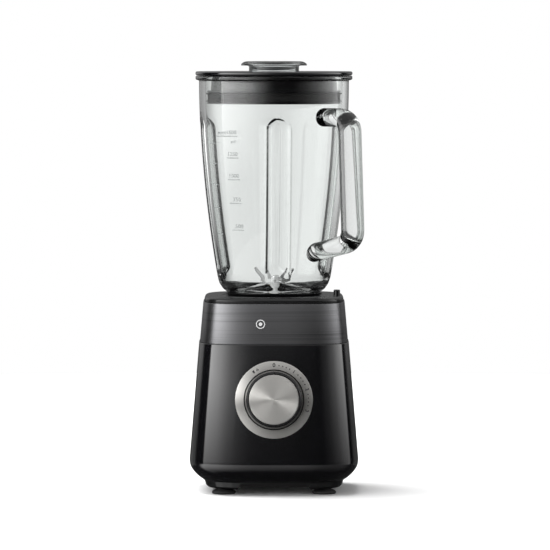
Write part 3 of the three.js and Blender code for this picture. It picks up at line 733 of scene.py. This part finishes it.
def lettering(text, height, thickness=0.04, bold=0.12):
    """Plain raised characters, centred, as a mesh."""
    curve = bpy.data.curves.new("characters", "FONT")
    curve.body = text
    curve.size = height * MM / 0.7
    curve.offset = bold * MM
    curve.align_x, curve.align_y = "CENTER", "CENTER"
    curve.extrude = thickness / 2 * MM
    curve.resolution_u = 3
    holder = bpy.data.objects.new("characters", curve)
    bpy.context.scene.collection.objects.link(holder)
    graph = bpy.context.evaluated_depsgraph_get()
    bm = bmesh.new()
    bm.from_mesh(holder.evaluated_get(graph).to_mesh())
    bpy.data.objects.remove(holder)
    bmesh.ops.remove_doubles(bm, verts=bm.verts[:], dist=1e-7)
    return bm


def knob():
    """The speed knob."""
    top = KNOB_REACH
    body = turned(
        [
            [3.3, 5.6, 0],
            [3.3, -4.4, 0],
            [7, -4.4, 0.3],
            [7, 1, 0.3],
            [26.5, 1, 0.3],
            [26.5, -5, 0.3],
            [28.6, -5, 0.3],
            [28.6, 2.6, 1],
            [26.8, top - 2.6, 1.2],
            [25.6, top - 0.8, 0.5],
            [24.6, top - 0.8, 0.2],
            [24.6, top - 2.4, 0],
            [5, top - 2.4, 0],
            [5, 5.6, 0],
        ],
        160,
    )
    pointer = block((-0.9, 24.8, top - 3), (0.9, 27, top - 0.6))
    bmesh.ops.bevel(
        pointer, geom=pointer.edges[:], offset=0.25 * MM, segments=2, profile=0.5, affect="EDGES", material=-1
    )
    bm = combined(body, [pointer], "UNION")
    as_piece(on_face(bm), "knob_grip", "knob", SATIN_BLACK, "gloss_black", "knob_body")
    cap = turned(
        [
            [0, top - 2.1],
            [24.15, top - 2.1, 0.1],
            [24.15, top - 1.5, 0.2],
            [23.5, top - 1.0, 0.2],
            [16, top - 0.45, 4],
            [8, top - 0.11, 4],
            [0, top],
        ],
        160,
    )
    as_piece(on_face(cap), "knob_face", "knob", KNOB_METAL, "brushed_aluminium", "knob_cap")


# ---------------------------------------------------------------- blade unit


def blade_holder():
    """The collar that carries the blades under the jug."""
    collar = turned(
        [
            [43.5, 160, 0.4],
            [43.5, 187.4, 1.5],
            [47.2, 193.9, 0.4],
            [46.1, 193.9, 0.4],
            [40.9, 188.1, 0.6],
            [40.9, 177.6, 0],
            [36, 177.6, 0],
            [36, 190.4, 0.4],
            [35, 191.4, 0.5],
            [33.6, 190.4, 0.8],
            [32.4, 187.4, 1],
            [28.4, 184.8, 2],
            [18.6, 185, 2],
            [12, 188.4, 2],
            [8.6, 195.2, 0.4],
            [7.6, 195.2, 0.2],
            [7.6, 170, 0],
            [11, 170, 0],
            [11, 181.6, 0],
            [26, 181.6, 0],
            [30, 174, 0],
            [41, 174, 0],
            [41, 160, 0.4],
        ],
        128,
    )
    # Low radial ribs brace the cone in the middle of the bowl.
    tabs = [diagonal_block(i, 47.2, 4.2, 160, 183) for i in range(4)]
    core = [drum(42.5, 100, 250, steps=96) for _ in tabs]
    trimmed = [combined(tab, [drum_], "DIFFERENCE") for tab, drum_ in zip(tabs, core)]
    bm = combined(collar, trimmed, "UNION")
    as_piece(bm, "blade_collar", "blade_unit", SATIN_BLACK, "satin_black", "blade_holder")


def blades():
    """Three two-armed blades, one bent up and two bent down, with ground edges."""
    seat, thick = 196.5, 1.4
    step = thick + GAP
    arms = (
        ("upper_blade", 2, 21.0, 17.0, 12.0, 6.5, -33),
        ("middle_blade", 1, 23.0, -7.6, 12.0, 1.8, -86),
        ("lower_blade", 0, 28.5, -7.0, 11.0, 2.4, 5),
    )
    for name, level, reach, rise, root, tip, turn in arms:
        low = seat + level * step
        bm = bmesh.new()
        bmesh.ops.create_grid(bm, x_segments=48, y_segments=10, size=1)
        bmesh.ops.scale(bm, vec=(1, 0.5, 1), verts=bm.verts[:])
        bend = 7.5
        for vertex in bm.verts:
            along = vertex.co.x * (reach + 0.4)
            out = max(0.0, (abs(along) - bend) / (reach + 0.4 - bend))
            width = root + (tip - root) * out
            across = vertex.co.y * width
            lift = rise * out**1.06
            vertex.co = Vector((along * MM, across * MM, (low + lift) * MM))
        faces = bm.faces[:]
        thicken = bmesh.ops.extrude_face_region(bm, geom=faces)["geom"]
        top = [v for v in thicken if isinstance(v, bmesh.types.BMVert)]
        for vertex in top:
            out = max(0.0, abs(vertex.co.x / MM) - bend)
            # Both edges of each arm are ground down towards the tip.
            width = (root + (tip - root) * min(1, out / (reach + 0.4 - bend))) / 2
            edge = min(1.0, (width - abs(vertex.co.y / MM)) / 1.6) if out > 0.5 else 1.0
            vertex.co.z += (0.25 + (thick - 0.25) * max(0.0, edge)) * MM
        bmesh.ops.recalc_face_normals(bm, faces=bm.faces[:])
        bmesh.ops.rotate(
            bm, cent=(0, 0, 0), matrix=Matrix.Rotation(math.radians(turn), 3, "Z"), verts=bm.verts[:]
        )
        hole = drum(4.3, low - 3, low + 6, steps=32)
        bm = combined(bm, [hole], "DIFFERENCE")
        as_piece(bm, name.replace("blade", "cutter"), "blades", BLADE_STEEL, "steel", name)
    nut = bmesh.new()
    bmesh.ops.create_cone(
        nut, cap_ends=True, segments=6, radius1=5.8 * MM, radius2=5.8 * MM, depth=3.6 * MM
    )
    bmesh.ops.translate(nut, vec=(0, 0, 203.3 * MM), verts=nut.verts[:])
    bmesh.ops.bevel(
        nut, geom=nut.edges[:], offset=0.3 * MM, segments=2, profile=0.5, affect="EDGES", material=-1
    )
    dome = turned([[0, 204.6], [4.8, 204.6, 0.2], [4.4, 206.2, 0.8], [0, 207.2]], 48)
    bm = combined(nut, [dome], "UNION")
    bm = combined(bm, [drum(4.3, 195, 204.5, steps=32)], "DIFFERENCE")
    as_piece(bm, "cutter_nut", "blades", BLADE_STEEL, "steel", "blade_nut")


# ---------------------------------------------------------------- glass jug

JUG_TOP = 405.7
TAPER_TOP = JUG_TOP - 4.6
SHOULDER, SHOULDER_RADIUS = 213.0, 56.4
TOP_RADIUS, RIM_RADIUS = 73.4, 76.8
TAPER_POWER = 1.85
WALL = 6.0
FLUTE_DEPTH, FLUTE_HALF, FLUTE_TURN = 9.0, 10.8, math.radians(4.4)
FLUTE_TOP, FLUTE_BOTTOM = 365.0, 205.0
JUG_STEPS, QUARTER = 384, TURN / 4
HANDLE_TURN = math.radians(42 - 90)
HANDLE_RADIAL, ARM_ACROSS, GRIP_ACROSS = 8.95, 10.5, 12.8
TOP_ARM = (69.4, 366.0)  # where the top arm starts: reach, height
TOP_BEND_AT, BEND_RADIUS, GRIP_PITCH = 94.8, 14.4, 87.5
GRIP_FOOT, LOWER_BEND, LOWER_ARM_END = 258.4, 80.5, 57.0


def jug_radius(height):
    """The jug's outer radius between its shoulder and its rim."""
    drop = max(0.0, (TAPER_TOP - height) / (TAPER_TOP - SHOULDER))
    return TOP_RADIUS - (TOP_RADIUS - SHOULDER_RADIUS) * drop**TAPER_POWER


def flute_share(across, height, half, power):
    """How far a flute is pressed in at a place on the wall, from 0 to 1. Its top is a half circle."""
    off = math.hypot(across, max(0.0, height - (FLUTE_TOP - FLUTE_HALF)))
    if off >= half or height < FLUTE_BOTTOM:
        return 0.0
    foot = min(1.0, (height - FLUTE_BOTTOM) / 16)
    side = 1 - (off / half) ** 2
    return side**power * foot * foot * (3 - 2 * foot)


def jug_glass():
    """The glass jug, with its four flutes."""
    # Rows of the mesh are closer where the flutes' round tops cross them.
    wall = [SHOULDER + (350 - SHOULDER) * i / 56 for i in range(1, 57)]
    wall += [350 + 0.7 * i for i in range(1, 23)]
    wall += [365.4 + (TAPER_TOP - 365.4) * i / 12 for i in range(1, 13)]
    outside = [
        [40.5, 179.4, 0.6],
        [40.5, 188.4, 1],
        [46.2, 194.6, 1],
        [49.8, 197.4, 1.2],
        [53.2, 202.4, 1.5],
        [55.6, 208.4, 1.5],
        [SHOULDER_RADIUS, SHOULDER, 0],
        *[[jug_radius(z), z, 0] for z in wall],
        [RIM_RADIUS, JUG_TOP - 3.5, 0.9],
        [RIM_RADIUS, JUG_TOP, 1],
    ]
    inside = [
        [68, JUG_TOP, 0.8],
        *[[jug_radius(z) - WALL, z, 0] for z in reversed(wall)],
        [SHOULDER_RADIUS - WALL, SHOULDER, 0],
        [48.6, 206.8, 1.5],
        [46, 203, 1.5],
        [38.8, 196.6, 1],
        [36.4, 195.6, 0.6],
        [36.4, 179.4, 0.3],
    ]
    bm = turned(outside + inside, JUG_STEPS)
    bmesh.ops.rotate(bm, cent=(0, 0, 0), matrix=Matrix.Rotation(FLUTE_TURN, 3, "Z"), verts=bm.verts[:])
    for vertex in bm.verts:
        radius, height = vertex.co.xy.length / MM, vertex.co.z / MM
        if height < FLUTE_BOTTOM:
            continue
        # The mould rounds the rib inside more broadly than the groove outside.
        inner = radius < jug_radius(height) - WALL / 2
        half, columns, power = (FLUTE_HALF + 1.2, 11, 0.9) if inner else (FLUTE_HALF, 9, 0.8)
        angle = math.atan2(vertex.co.y, vertex.co.x) - FLUTE_TURN
        middle = round(angle / QUARTER) * QUARTER
        if round(angle / QUARTER) == 1:
            power = 2.2  # the flute at the back is pressed with softer sides
        elif round(angle / QUARTER) == -1 and off > 0:
            power += 0.6  # and so is the side of the front one towards the handle
        off = angle - middle
        # Columns of the mesh are drawn to the flute's edges, so that each edge is one clean line.
        edge, column = half / radius, columns * TURN / JUG_STEPS
        if abs(off) <= column:
            moved = off * edge / column
        else:
            moved = math.copysign(
                edge + (abs(off) - column) * (QUARTER / 2 - edge) / (QUARTER / 2 - column), off
            )
        share = flute_share(radius * abs(moved), height, half, power)
        radius -= FLUTE_DEPTH * share
        angle = FLUTE_TURN + middle + moved
        vertex.co.x, vertex.co.y = radius * math.cos(angle) * MM, radius * math.sin(angle) * MM
    bm = combined(bm, [handle_bar()], "UNION")
    jug = as_piece(bm, "jug_and_handle", "jug", GLASS, "glass", "glass_jug", "jug_handle")
    jug.visible_shadow = False  # clear glass lets the soft light through
    scale_marks()


def handle_bar():
    """The glass grip: two arms and a bar, bent in one run, with its ends let into the jug's wall."""
    bm = bmesh.new()
    ring = bmesh.ops.create_circle(bm, cap_ends=False, segments=48, radius=1)["verts"]
    for vertex in ring:
        vertex.co = Vector((0, vertex.co.y * ARM_ACROSS * MM, vertex.co.x * HANDLE_RADIAL * MM))
    bmesh.ops.translate(bm, vec=(TOP_ARM[0] * MM, 0, TOP_ARM[1] * MM), verts=ring)
    edges = bm.edges[:]
    rings = [list(ring)]

    def onward(edges, reach, drop, parts):
        for _ in range(parts):
            made = bmesh.ops.extrude_edge_only(bm, edges=edges)["geom"]
            verts = [g for g in made if isinstance(g, bmesh.types.BMVert)]
            edges = [
                g for g in made if isinstance(g, bmesh.types.BMEdge) and all(v in verts for v in g.verts)
            ]
            bmesh.ops.translate(bm, vec=Vector((reach, 0, drop)) / parts * MM, verts=verts)
            rings.append(verts)
        return edges

    def bend(edges, centre, degrees, parts):
        turned_edges = bmesh.ops.spin(
            bm,
            geom=list({v for e in edges for v in e.verts}) + edges,
            cent=Vector((centre[0], 0, centre[1])) * MM,
            axis=(0, 1, 0),
            angle=math.radians(degrees),
            steps=parts,
            use_merge=False,
        )["geom_last"]
        return [g for g in turned_edges if isinstance(g, bmesh.types.BMEdge)]

    steep, back = math.radians(GRIP_PITCH), math.radians(GRIP_PITCH + LOWER_BEND)
    edges = onward(edges, TOP_BEND_AT - TOP_ARM[0], 0, 9)
    edges = bend(edges, (TOP_BEND_AT, TOP_ARM[1] - BEND_RADIUS), GRIP_PITCH, 16)
    x = TOP_BEND_AT + BEND_RADIUS * math.sin(steep)
    z = TOP_ARM[1] - BEND_RADIUS * (1 - math.cos(steep))
    length = (z - GRIP_FOOT) / math.sin(steep)
    edges = onward(edges, length * math.cos(steep), -length * math.sin(steep), 14)
    x, z = x + length * math.cos(steep), GRIP_FOOT
    centre = (x - BEND_RADIUS * math.sin(steep), z - BEND_RADIUS * math.cos(steep))
    edges = bend(edges, centre, LOWER_BEND, 16)
    x, z = centre[0] + BEND_RADIUS * math.sin(back), centre[1] + BEND_RADIUS * math.cos(back)
    length = (LOWER_ARM_END - x) / math.cos(back)
    first = len(rings)
    edges = onward(edges, length * math.cos(back), -length * math.sin(back), 12)
    # The arms broaden into the grip on their way out.
    for vertex in bm.verts:
        out = min(1.0, max(0.0, (vertex.co.x / MM - 82) / 19))
        vertex.co.y *= 1 + (GRIP_ACROSS / ARM_ACROSS - 1) * out * out * (3 - 2 * out)
    seat_end(rings[:6], Vector((-1, 0, 0)))
    seat_end(rings[first:][::-1][:6], Vector((math.cos(back), 0, -math.sin(back))))
    bmesh.ops.holes_fill(bm, edges=[e for e in bm.edges if e.is_boundary])
    bmesh.ops.recalc_face_normals(bm, faces=bm.faces[:])
    bmesh.ops.rotate(bm, cent=(0, 0, 0), matrix=Matrix.Rotation(HANDLE_TURN, 3, "Z"), verts=bm.verts[:])
    return bm


def seat_end(rings, inward):
    """Sets the end rings of an arm at steady depths from the jug's wall, so that it meets it squarely."""
    for verts, depth in zip(rings, (-3.0, 0.6, 2.2, 4.6, 8.0, 12.5)):
        for vertex in verts:
            for _ in range(12):
                gap = vertex.co.xy.length / MM - (jug_radius(vertex.co.z / MM) + depth)
                vertex.co = vertex.co + inward * gap * 0.9 * MM


def wall_spot(x, z, proud):
    """The place on the outside of the jug in front, x across and z up, a little proud of the wall."""
    radius = jug_radius(z) + proud
    angle = math.asin(max(-1.0, min(1.0, x / radius)))
    return Vector((radius * math.sin(angle) * MM, -radius * math.cos(angle) * MM, z * MM))


def wrapped(bm):
    """Lays a flat mesh, drawn with x across, y up and its thickness in z, on the front of the jug's wall."""
    for vertex in bm.verts:
        x, z, proud = vertex.co.x / MM, vertex.co.y / MM, vertex.co.z / MM
        vertex.co = wall_spot(x, z, proud)
    return bm


def scale_marks():
    """The moulded scale on the front left of the jug: lines with their volumes in millilitres."""
    levels = (
        (347.6, -55.5, -35.6, "1500"),
        (326.7, -45.9, -34.4, "1250"),
        (305.6, -44.6, -33.0, "1000"),
        (282.6, -42.8, -31.3, "750"),
        (256.6, -40.5, -29.0, "500"),
    )
    marks = []

    def placed(bm, x, z):
        bmesh.ops.translate(bm, vec=(x * MM, z * MM, 0.02 * MM), verts=bm.verts[:])
        marks.append(wrapped(bm))

    def line(x0, x1, z, thick=0.9):
        bm = block((x0, z - thick / 2, 0.02), (x1, z + thick / 2, 0.35))
        cuts = [e for e in bm.edges if abs(e.verts[0].co.x - e.verts[1].co.x) > 1e-6]
        bmesh.ops.subdivide_edges(bm, edges=cuts, cuts=10, use_grid_fill=True)
        marks.append(wrapped(bm))

    for height, x0, x1, label in levels:
        line(x0, x1, height)
        placed(lettering(label, 3.6, 0.3), x1 - 1.35 * len(label) - 0.4, height + 3.6)
    placed(lettering("MAX", 2.6, 0.3), -50.5, 350.6)
    placed(lettering("ml", 3.2, 0.3), -39.5, 342.4)
    for height, x0, x1 in (
        (340.8, -62.6, -56.6),
        (321.3, -61.4, -55.4),
        (300.8, -60, -54),
        (278.1, -58, -52),
        (252.6, -55, -49.4),
    ):
        line(x0, x1, height, 0.8)
    bm = fused(marks[0], *marks[1:])
    as_piece(bm, "jug_scale", "jug", GLASS_MARKS, None)


# ---------------------------------------------------------------- lid and cup

LID_RADIUS, LID_BOTTOM, LID_TOP = 76.9, 406.0, 410.1
PLUG_BOTTOM, CUP_BOTTOM, CUP_TOP = 378.7, 383.0, 420.0


def lid():
    """The lid."""
    hole = 25.7
    bm = turned(
        [
            [65.6, PLUG_BOTTOM, 0.3],
            [65.6, PLUG_BOTTOM + 1.5, 0.3],
            [63.7, PLUG_BOTTOM + 1.5, 0.2],
            [63.7, 390, 0.2],
            [65.4, 390, 0.3],
            [65.4, 391.4, 0.3],
            [62, 391.4, 0.3],
            [61, 402, 0.5],
            [60.8, LID_BOTTOM, 0.6],
            [LID_RADIUS - 1.2, LID_BOTTOM, 0.5],
            [LID_RADIUS, LID_BOTTOM + 1.3, 0.6],
            [LID_RADIUS, LID_TOP - 1.0, 0.5],
            [LID_RADIUS - 1.0, LID_TOP, 0.5],
            [71, LID_TOP, 1],
            [hole + 4, LID_TOP - 0.7, 1],
            [hole, LID_TOP - 0.8, 0.5],
            [hole, CUP_BOTTOM - GAP, 0.2],
            [hole - 4, CUP_BOTTOM - GAP, 0.3],
            [hole - 4, CUP_BOTTOM - 2, 0.3],
            [hole + 2, CUP_BOTTOM - 2, 0.6],
            [hole + 2, LID_TOP - 3.4, 1],
            [57.6, LID_BOTTOM - 0.6, 1],
            [59.8, 391, 0.5],
            [61.6, 388, 0.5],
            [61.6, PLUG_BOTTOM, 0.3],
        ],
        192,
    )
    as_piece(bm, "lid_plug", "lid", PIANO_BLACK, "gloss_black", "lid")
    seal = turned(
        [
            [64, 380.6, 0.1],
            [66.5, 380.9, 0.15],
            [66.5, 381.4, 0.15],
            [65, 381.9, 0.3],
            [65, 387.4, 0.3],
            [66.7, 388.4, 0.2],
            [66.7, 389, 0.2],
            [64, 389.6, 0.1],
        ],
        160,
    )
    as_piece(seal, "lid_seal_ring", "lid", RUBBER, "rubber", "lid_seal")


def measuring_cup():
    """The cup in the lid."""
    radius, flange = 24.5, 32.4
    bm = turned(
        [
            [0, CUP_TOP - 2.2],
            [radius - 2.2, CUP_TOP - 2.2, 1],
            [radius - 2, CUP_BOTTOM, 0.5],
            [radius - 0.2, CUP_BOTTOM, 0.5],
            [radius, CUP_TOP - 4.6, 0.8],
            [flange - 3, CUP_TOP - 3.8, 0.8],
            [flange, CUP_TOP - 4.2, 0.4],
            [flange - 0.4, CUP_TOP - 2.4, 0.8],
            [flange - 3, CUP_TOP - 0.6, 1.2],
            [flange - 6, CUP_TOP, 1.2],
            [0, CUP_TOP],
        ],
        128,
    )
    as_piece(bm, "cup_shell", "cup", SMOKED_PLASTIC, "clear_plastic", "measuring_cup")


# ---------------------------------------------------------------- carried-over pieces


def dress_cad_nodes():
    """Gives each piece that keeps its CAD shape its own finish."""
    finishes = {
        SATIN_BLACK: ("bottom_plate", "dial_seat", "driven_coupling", "drive_coupling", "cooling_fan"),
        PIANO_BLACK: ("interlock_pin", "interlock_switch"),
        RUBBER: ("cord_gland", "jug_gasket", "motor_mount"),
        ZINC: ("base_screw", "knob_shaft", "motor_shaft", "upper_bearing", "lower_bearing"),
        BLADE_STEEL: ("blade_shaft", "interlock_spring"),
        LAMINATION: ("stator_core", "rotor_core", "upper_frame", "lower_frame"),
        COPPER: ("field_coil", "rotor_winding"),
        BRASS: ("commutator", "blade_bushing", "brush_holder"),
        CARBON: ("carbon_brush",),
        BOARD: ("control_board",),
        NYLON: ("speed_switch",),
    }
    for material, stems in finishes.items():
        for name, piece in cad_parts.items():
            if any(name.startswith(stem) for stem in stems):
                piece.data.materials.clear()
                piece.data.materials.append(material)
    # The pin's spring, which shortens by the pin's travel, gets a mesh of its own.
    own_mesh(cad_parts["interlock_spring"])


# ---------------------------------------------------------------- studio


def around(tree, coordinates):
    """A place or a direction, and its heading: 0 is -X, 0.25 is -Y (the front), 0.5 is +X and 0.75 is +Y."""
    spot = node(tree, "ShaderNodeTexCoord").outputs[coordinates]
    return spot, node(tree, "ShaderNodeTexGradient", {"Vector": spot}, gradient_type="RADIAL").outputs["Fac"]


PANEL_LIGHT = 6.0
# What polished surfaces mirror, by heading: a wide soft panel on the left, a weaker one on the right, and
# black flags between them.
MIRRORED = (
    (0.0, 0.003), (0.006, 0.003), (0.012, 0.72), (0.06, 0.64), (0.12, 0.48), (0.18, 0.21),
    (0.215, 0.10), (0.235, 0.045), (0.247, 0.025), (0.262, 0.012), (0.33, 0.004), (0.38, 0.04),
    (0.44, 0.13), (0.49, 0.26), (0.562, 0.36), (0.572, 0.003), (0.60, 0.003), (0.64, 0.06),
    (0.70, 0.035), (0.79, 0.035), (0.82, 0.09), (0.88, 0.09), (0.91, 0.003),
)  # fmt: skip
# The pale floor as polished undersides mirror it: lit from the left, and dark behind, under the blender.
FLOOR_MIRRORED = (
    (0.0, 0.3), (0.12, 0.28), (0.19, 0.18), (0.25, 0.08), (0.32, 0.035), (0.5, 0.03), (0.56, 0.005),
    (0.94, 0.005), (0.99, 0.3),
)  # fmt: skip
# What is seen through the glass: pale all round, with one dark flag behind on the left for the thick edges.
SEEN_THROUGH = (
    (0.0, 0.88), (0.43, 0.85), (0.50, 0.70), (0.585, 0.70), (0.63, 0.80), (0.77, 0.88), (0.785, 0.62),
    (0.818, 0.55), (0.822, 0.02), (0.846, 0.02), (0.85, 0.55), (0.91, 0.60), (0.95, 0.88),
)  # fmt: skip


# What the glass reflects inside itself, and what pieces behind it mirror.
INSIDE_GLASS = (
    (0.0, 0.90), (0.10, 0.75), (0.15, 0.45), (0.18, 0.20), (0.22, 0.03), (0.25, 0.005), (0.36, 0.01),
    (0.42, 0.05), (0.50, 0.17), (0.57, 0.32), (0.65, 0.32), (0.72, 0.12), (0.80, 0.10), (0.90, 0.22),
    (0.99, 0.90),
)  # fmt: skip
INSIDE_LIGHT = 2.5
# What lights matt and satin faces: mostly a low, broad light from the front.
SOFT_LIGHT = ((0.0, 0.7), (0.15, 0.95), (0.30, 0.95), (0.5, 0.5), (0.6, 0.2), (0.9, 0.2), (0.99, 0.7))
SOFT_STRENGTH = 2.0


def studio():
    """A pale floor in a pale room. What a ray sees of the room depends on how it has travelled."""
    floor_material, tree = blank_material("pale_studio_floor")
    speckle = grain(tree, 60)
    finish_material(
        floor_material,
        tree,
        {"Roughness": ranged(tree, speckle, 0.7, 0.8)},
        Base_Color=linear("f6f6f6"),
        Specular_IOR_Level=0.0,
    )
    bm = bmesh.new()
    bmesh.ops.create_circle(bm, cap_ends=True, segments=96, radius=1.6)
    mesh = bpy.data.meshes.new("floor")
    bm.to_mesh(mesh)
    bm.free()
    mesh.materials.append(floor_material)
    floor = bpy.data.objects.new("floor", mesh)
    bpy.context.scene.collection.objects.link(floor)
    floor.visible_glossy = floor.visible_transmission = False

    world = bpy.data.worlds.new("studio")
    bpy.context.scene.world = world
    world.use_nodes = True
    tree = world.node_tree
    tree.nodes.clear()
    way, heading = around(tree, "Generated")
    height = node(tree, "ShaderNodeSeparateXYZ", {"Vector": way}).outputs["Z"]
    path = node(tree, "ShaderNodeLightPath")

    def lit(stops, strength):
        """A grey map by heading, times a strength."""
        level = grey_ramp(tree, heading, stops)
        return node(tree, "ShaderNodeMapRange", {"Value": level}, To_Max=strength).outputs[0]

    def rising(start, end):
        """0 to 1 as the way's height goes from start to end."""
        return node(tree, "ShaderNodeMapRange", {"Value": height}, From_Min=start, From_Max=end).outputs[0]

    def bounced(kind):
        """1 where the ray has been through such a bounce, otherwise 0."""
        count = node(tree, "ShaderNodeMath", {0: path.outputs[kind]}, operation="GREATER_THAN")
        count.inputs[1].default_value = 0.5
        return count.outputs[0]

    def toward(level, factor, other):
        """The level where the factor is 0 and the other, a number or a map, where it is 1."""
        if isinstance(other, float):
            return node(tree, "ShaderNodeMix", {"Factor": factor, "A": level}, B=other).outputs[0]
        return node(tree, "ShaderNodeMix", {"Factor": factor, "A": level, "B": other}).outputs[0]

    overhead = rising(0.3, 0.65)
    ground = toward(lit(FLOOR_MIRRORED, PANEL_LIGHT), rising(-0.25, -0.92), 0.02)
    mirrored = toward(lit(MIRRORED, PANEL_LIGHT), rising(-0.06, -0.2), ground)
    mirrored = toward(mirrored, overhead, 0.8)
    inside = toward(lit(INSIDE_GLASS, INSIDE_LIGHT), overhead, 0.08)
    inside = toward(inside, rising(-0.09, -0.2), 0.01)
    clear = toward(grey_ramp(tree, heading, SEEN_THROUGH), overhead, 1.2)
    clear = toward(clear, rising(-0.36, -0.6), 0.01)
    soft = toward(lit(SOFT_LIGHT, SOFT_STRENGTH), overhead, 0.35)
    level = toward(mirrored, bounced("Transmission Depth"), inside)
    level = toward(clear, bounced("Glossy Depth"), level)
    level = toward(level, path.outputs["Is Diffuse Ray"], soft)
    level = toward(level, path.outputs["Is Camera Ray"], 1.0)
    background = node(tree, "ShaderNodeBackground", {"Color": level}, Strength=1.0)
    out = node(tree, "ShaderNodeOutputWorld")
    tree.links.new(background.outputs[0], out.inputs["Surface"])
    reflector()

    def softbox(name, place, target, size, energy):
        light = bpy.data.lights.new(name, "AREA")
        light.shape, light.size, light.size_y = "RECTANGLE", size[0], size[1]
        light.energy = energy
        holder = bpy.data.objects.new(name, light)
        holder.location = place
        holder.rotation_euler = (Vector(target) - Vector(place)).to_track_quat("-Z", "Y").to_euler()
        bpy.context.scene.collection.objects.link(holder)
        holder.visible_glossy = False
        holder.visible_transmission = False

    softbox("key_softbox", (-1.2, 0.45, 2.5), (0, 0, 0), (3.2, 3.2), 165)


def reflector():
    """The panels themselves, near enough that their light fades down the blender's sides."""
    material, tree = blank_material("soft_panel")
    spot, heading = around(tree, "Object")
    level = grey_ramp(tree, heading, MIRRORED)
    height = node(tree, "ShaderNodeSeparateXYZ", {"Vector": spot}).outputs["Z"]
    rising = node(
        tree, "ShaderNodeMapRange", {"Value": height}, From_Min=0.02, From_Max=0.42, To_Min=0.25, To_Max=1.0
    ).outputs[0]
    level = node(tree, "ShaderNodeMath", {0: level, 1: rising}, operation="MULTIPLY").outputs[0]
    glow = node(tree, "ShaderNodeEmission", {"Color": level}, Strength=PANEL_LIGHT)
    out = node(tree, "ShaderNodeOutputMaterial")
    tree.links.new(glow.outputs[0], out.inputs["Surface"])
    bm = bmesh.new()
    ring = bmesh.ops.create_circle(bm, cap_ends=False, segments=96, radius=1.5)
    risen = bmesh.ops.extrude_edge_only(bm, edges=bm.edges[:])["geom"]
    bmesh.ops.translate(bm, vec=(0, 0, -0.2), verts=ring["verts"])
    lifted = [g for g in risen if isinstance(g, bmesh.types.BMVert)]
    bmesh.ops.translate(bm, vec=(0, 0, 0.5), verts=lifted)
    mesh = bpy.data.meshes.new("reflector")
    bm.to_mesh(mesh)
    bm.free()
    mesh.materials.append(material)
    panel = bpy.data.objects.new("reflector", mesh)
    bpy.context.scene.collection.objects.link(panel)
    panel.visible_camera = panel.visible_transmission = panel.visible_diffuse = panel.visible_shadow = False


def camera():
    """A long lens a little above the lid, looking slightly down at the middle of the blender."""
    lens = bpy.data.cameras.new("camera")
    lens.lens, lens.sensor_width = 307.3, 36
    lens.clip_start, lens.clip_end = 0.1, 100
    holder = bpy.data.objects.new("camera", lens)
    holder.location = (0.001, -4.6, 0.4408)
    aim = Vector((0.001, 0, 0.2105))
    holder.rotation_euler = (aim - holder.location).to_track_quat("-Z", "Y").to_euler()
    bpy.context.scene.collection.objects.link(holder)
    bpy.context.scene.camera = holder


housing()
metal_band()
top_deck()
foot_pieces()
dial()
knob()
blade_holder()
blades()
jug_glass()
lid()
measuring_cup()
dress_cad_nodes()
studio()
camera()
bpy.context.scene.view_settings.view_transform = "Standard"
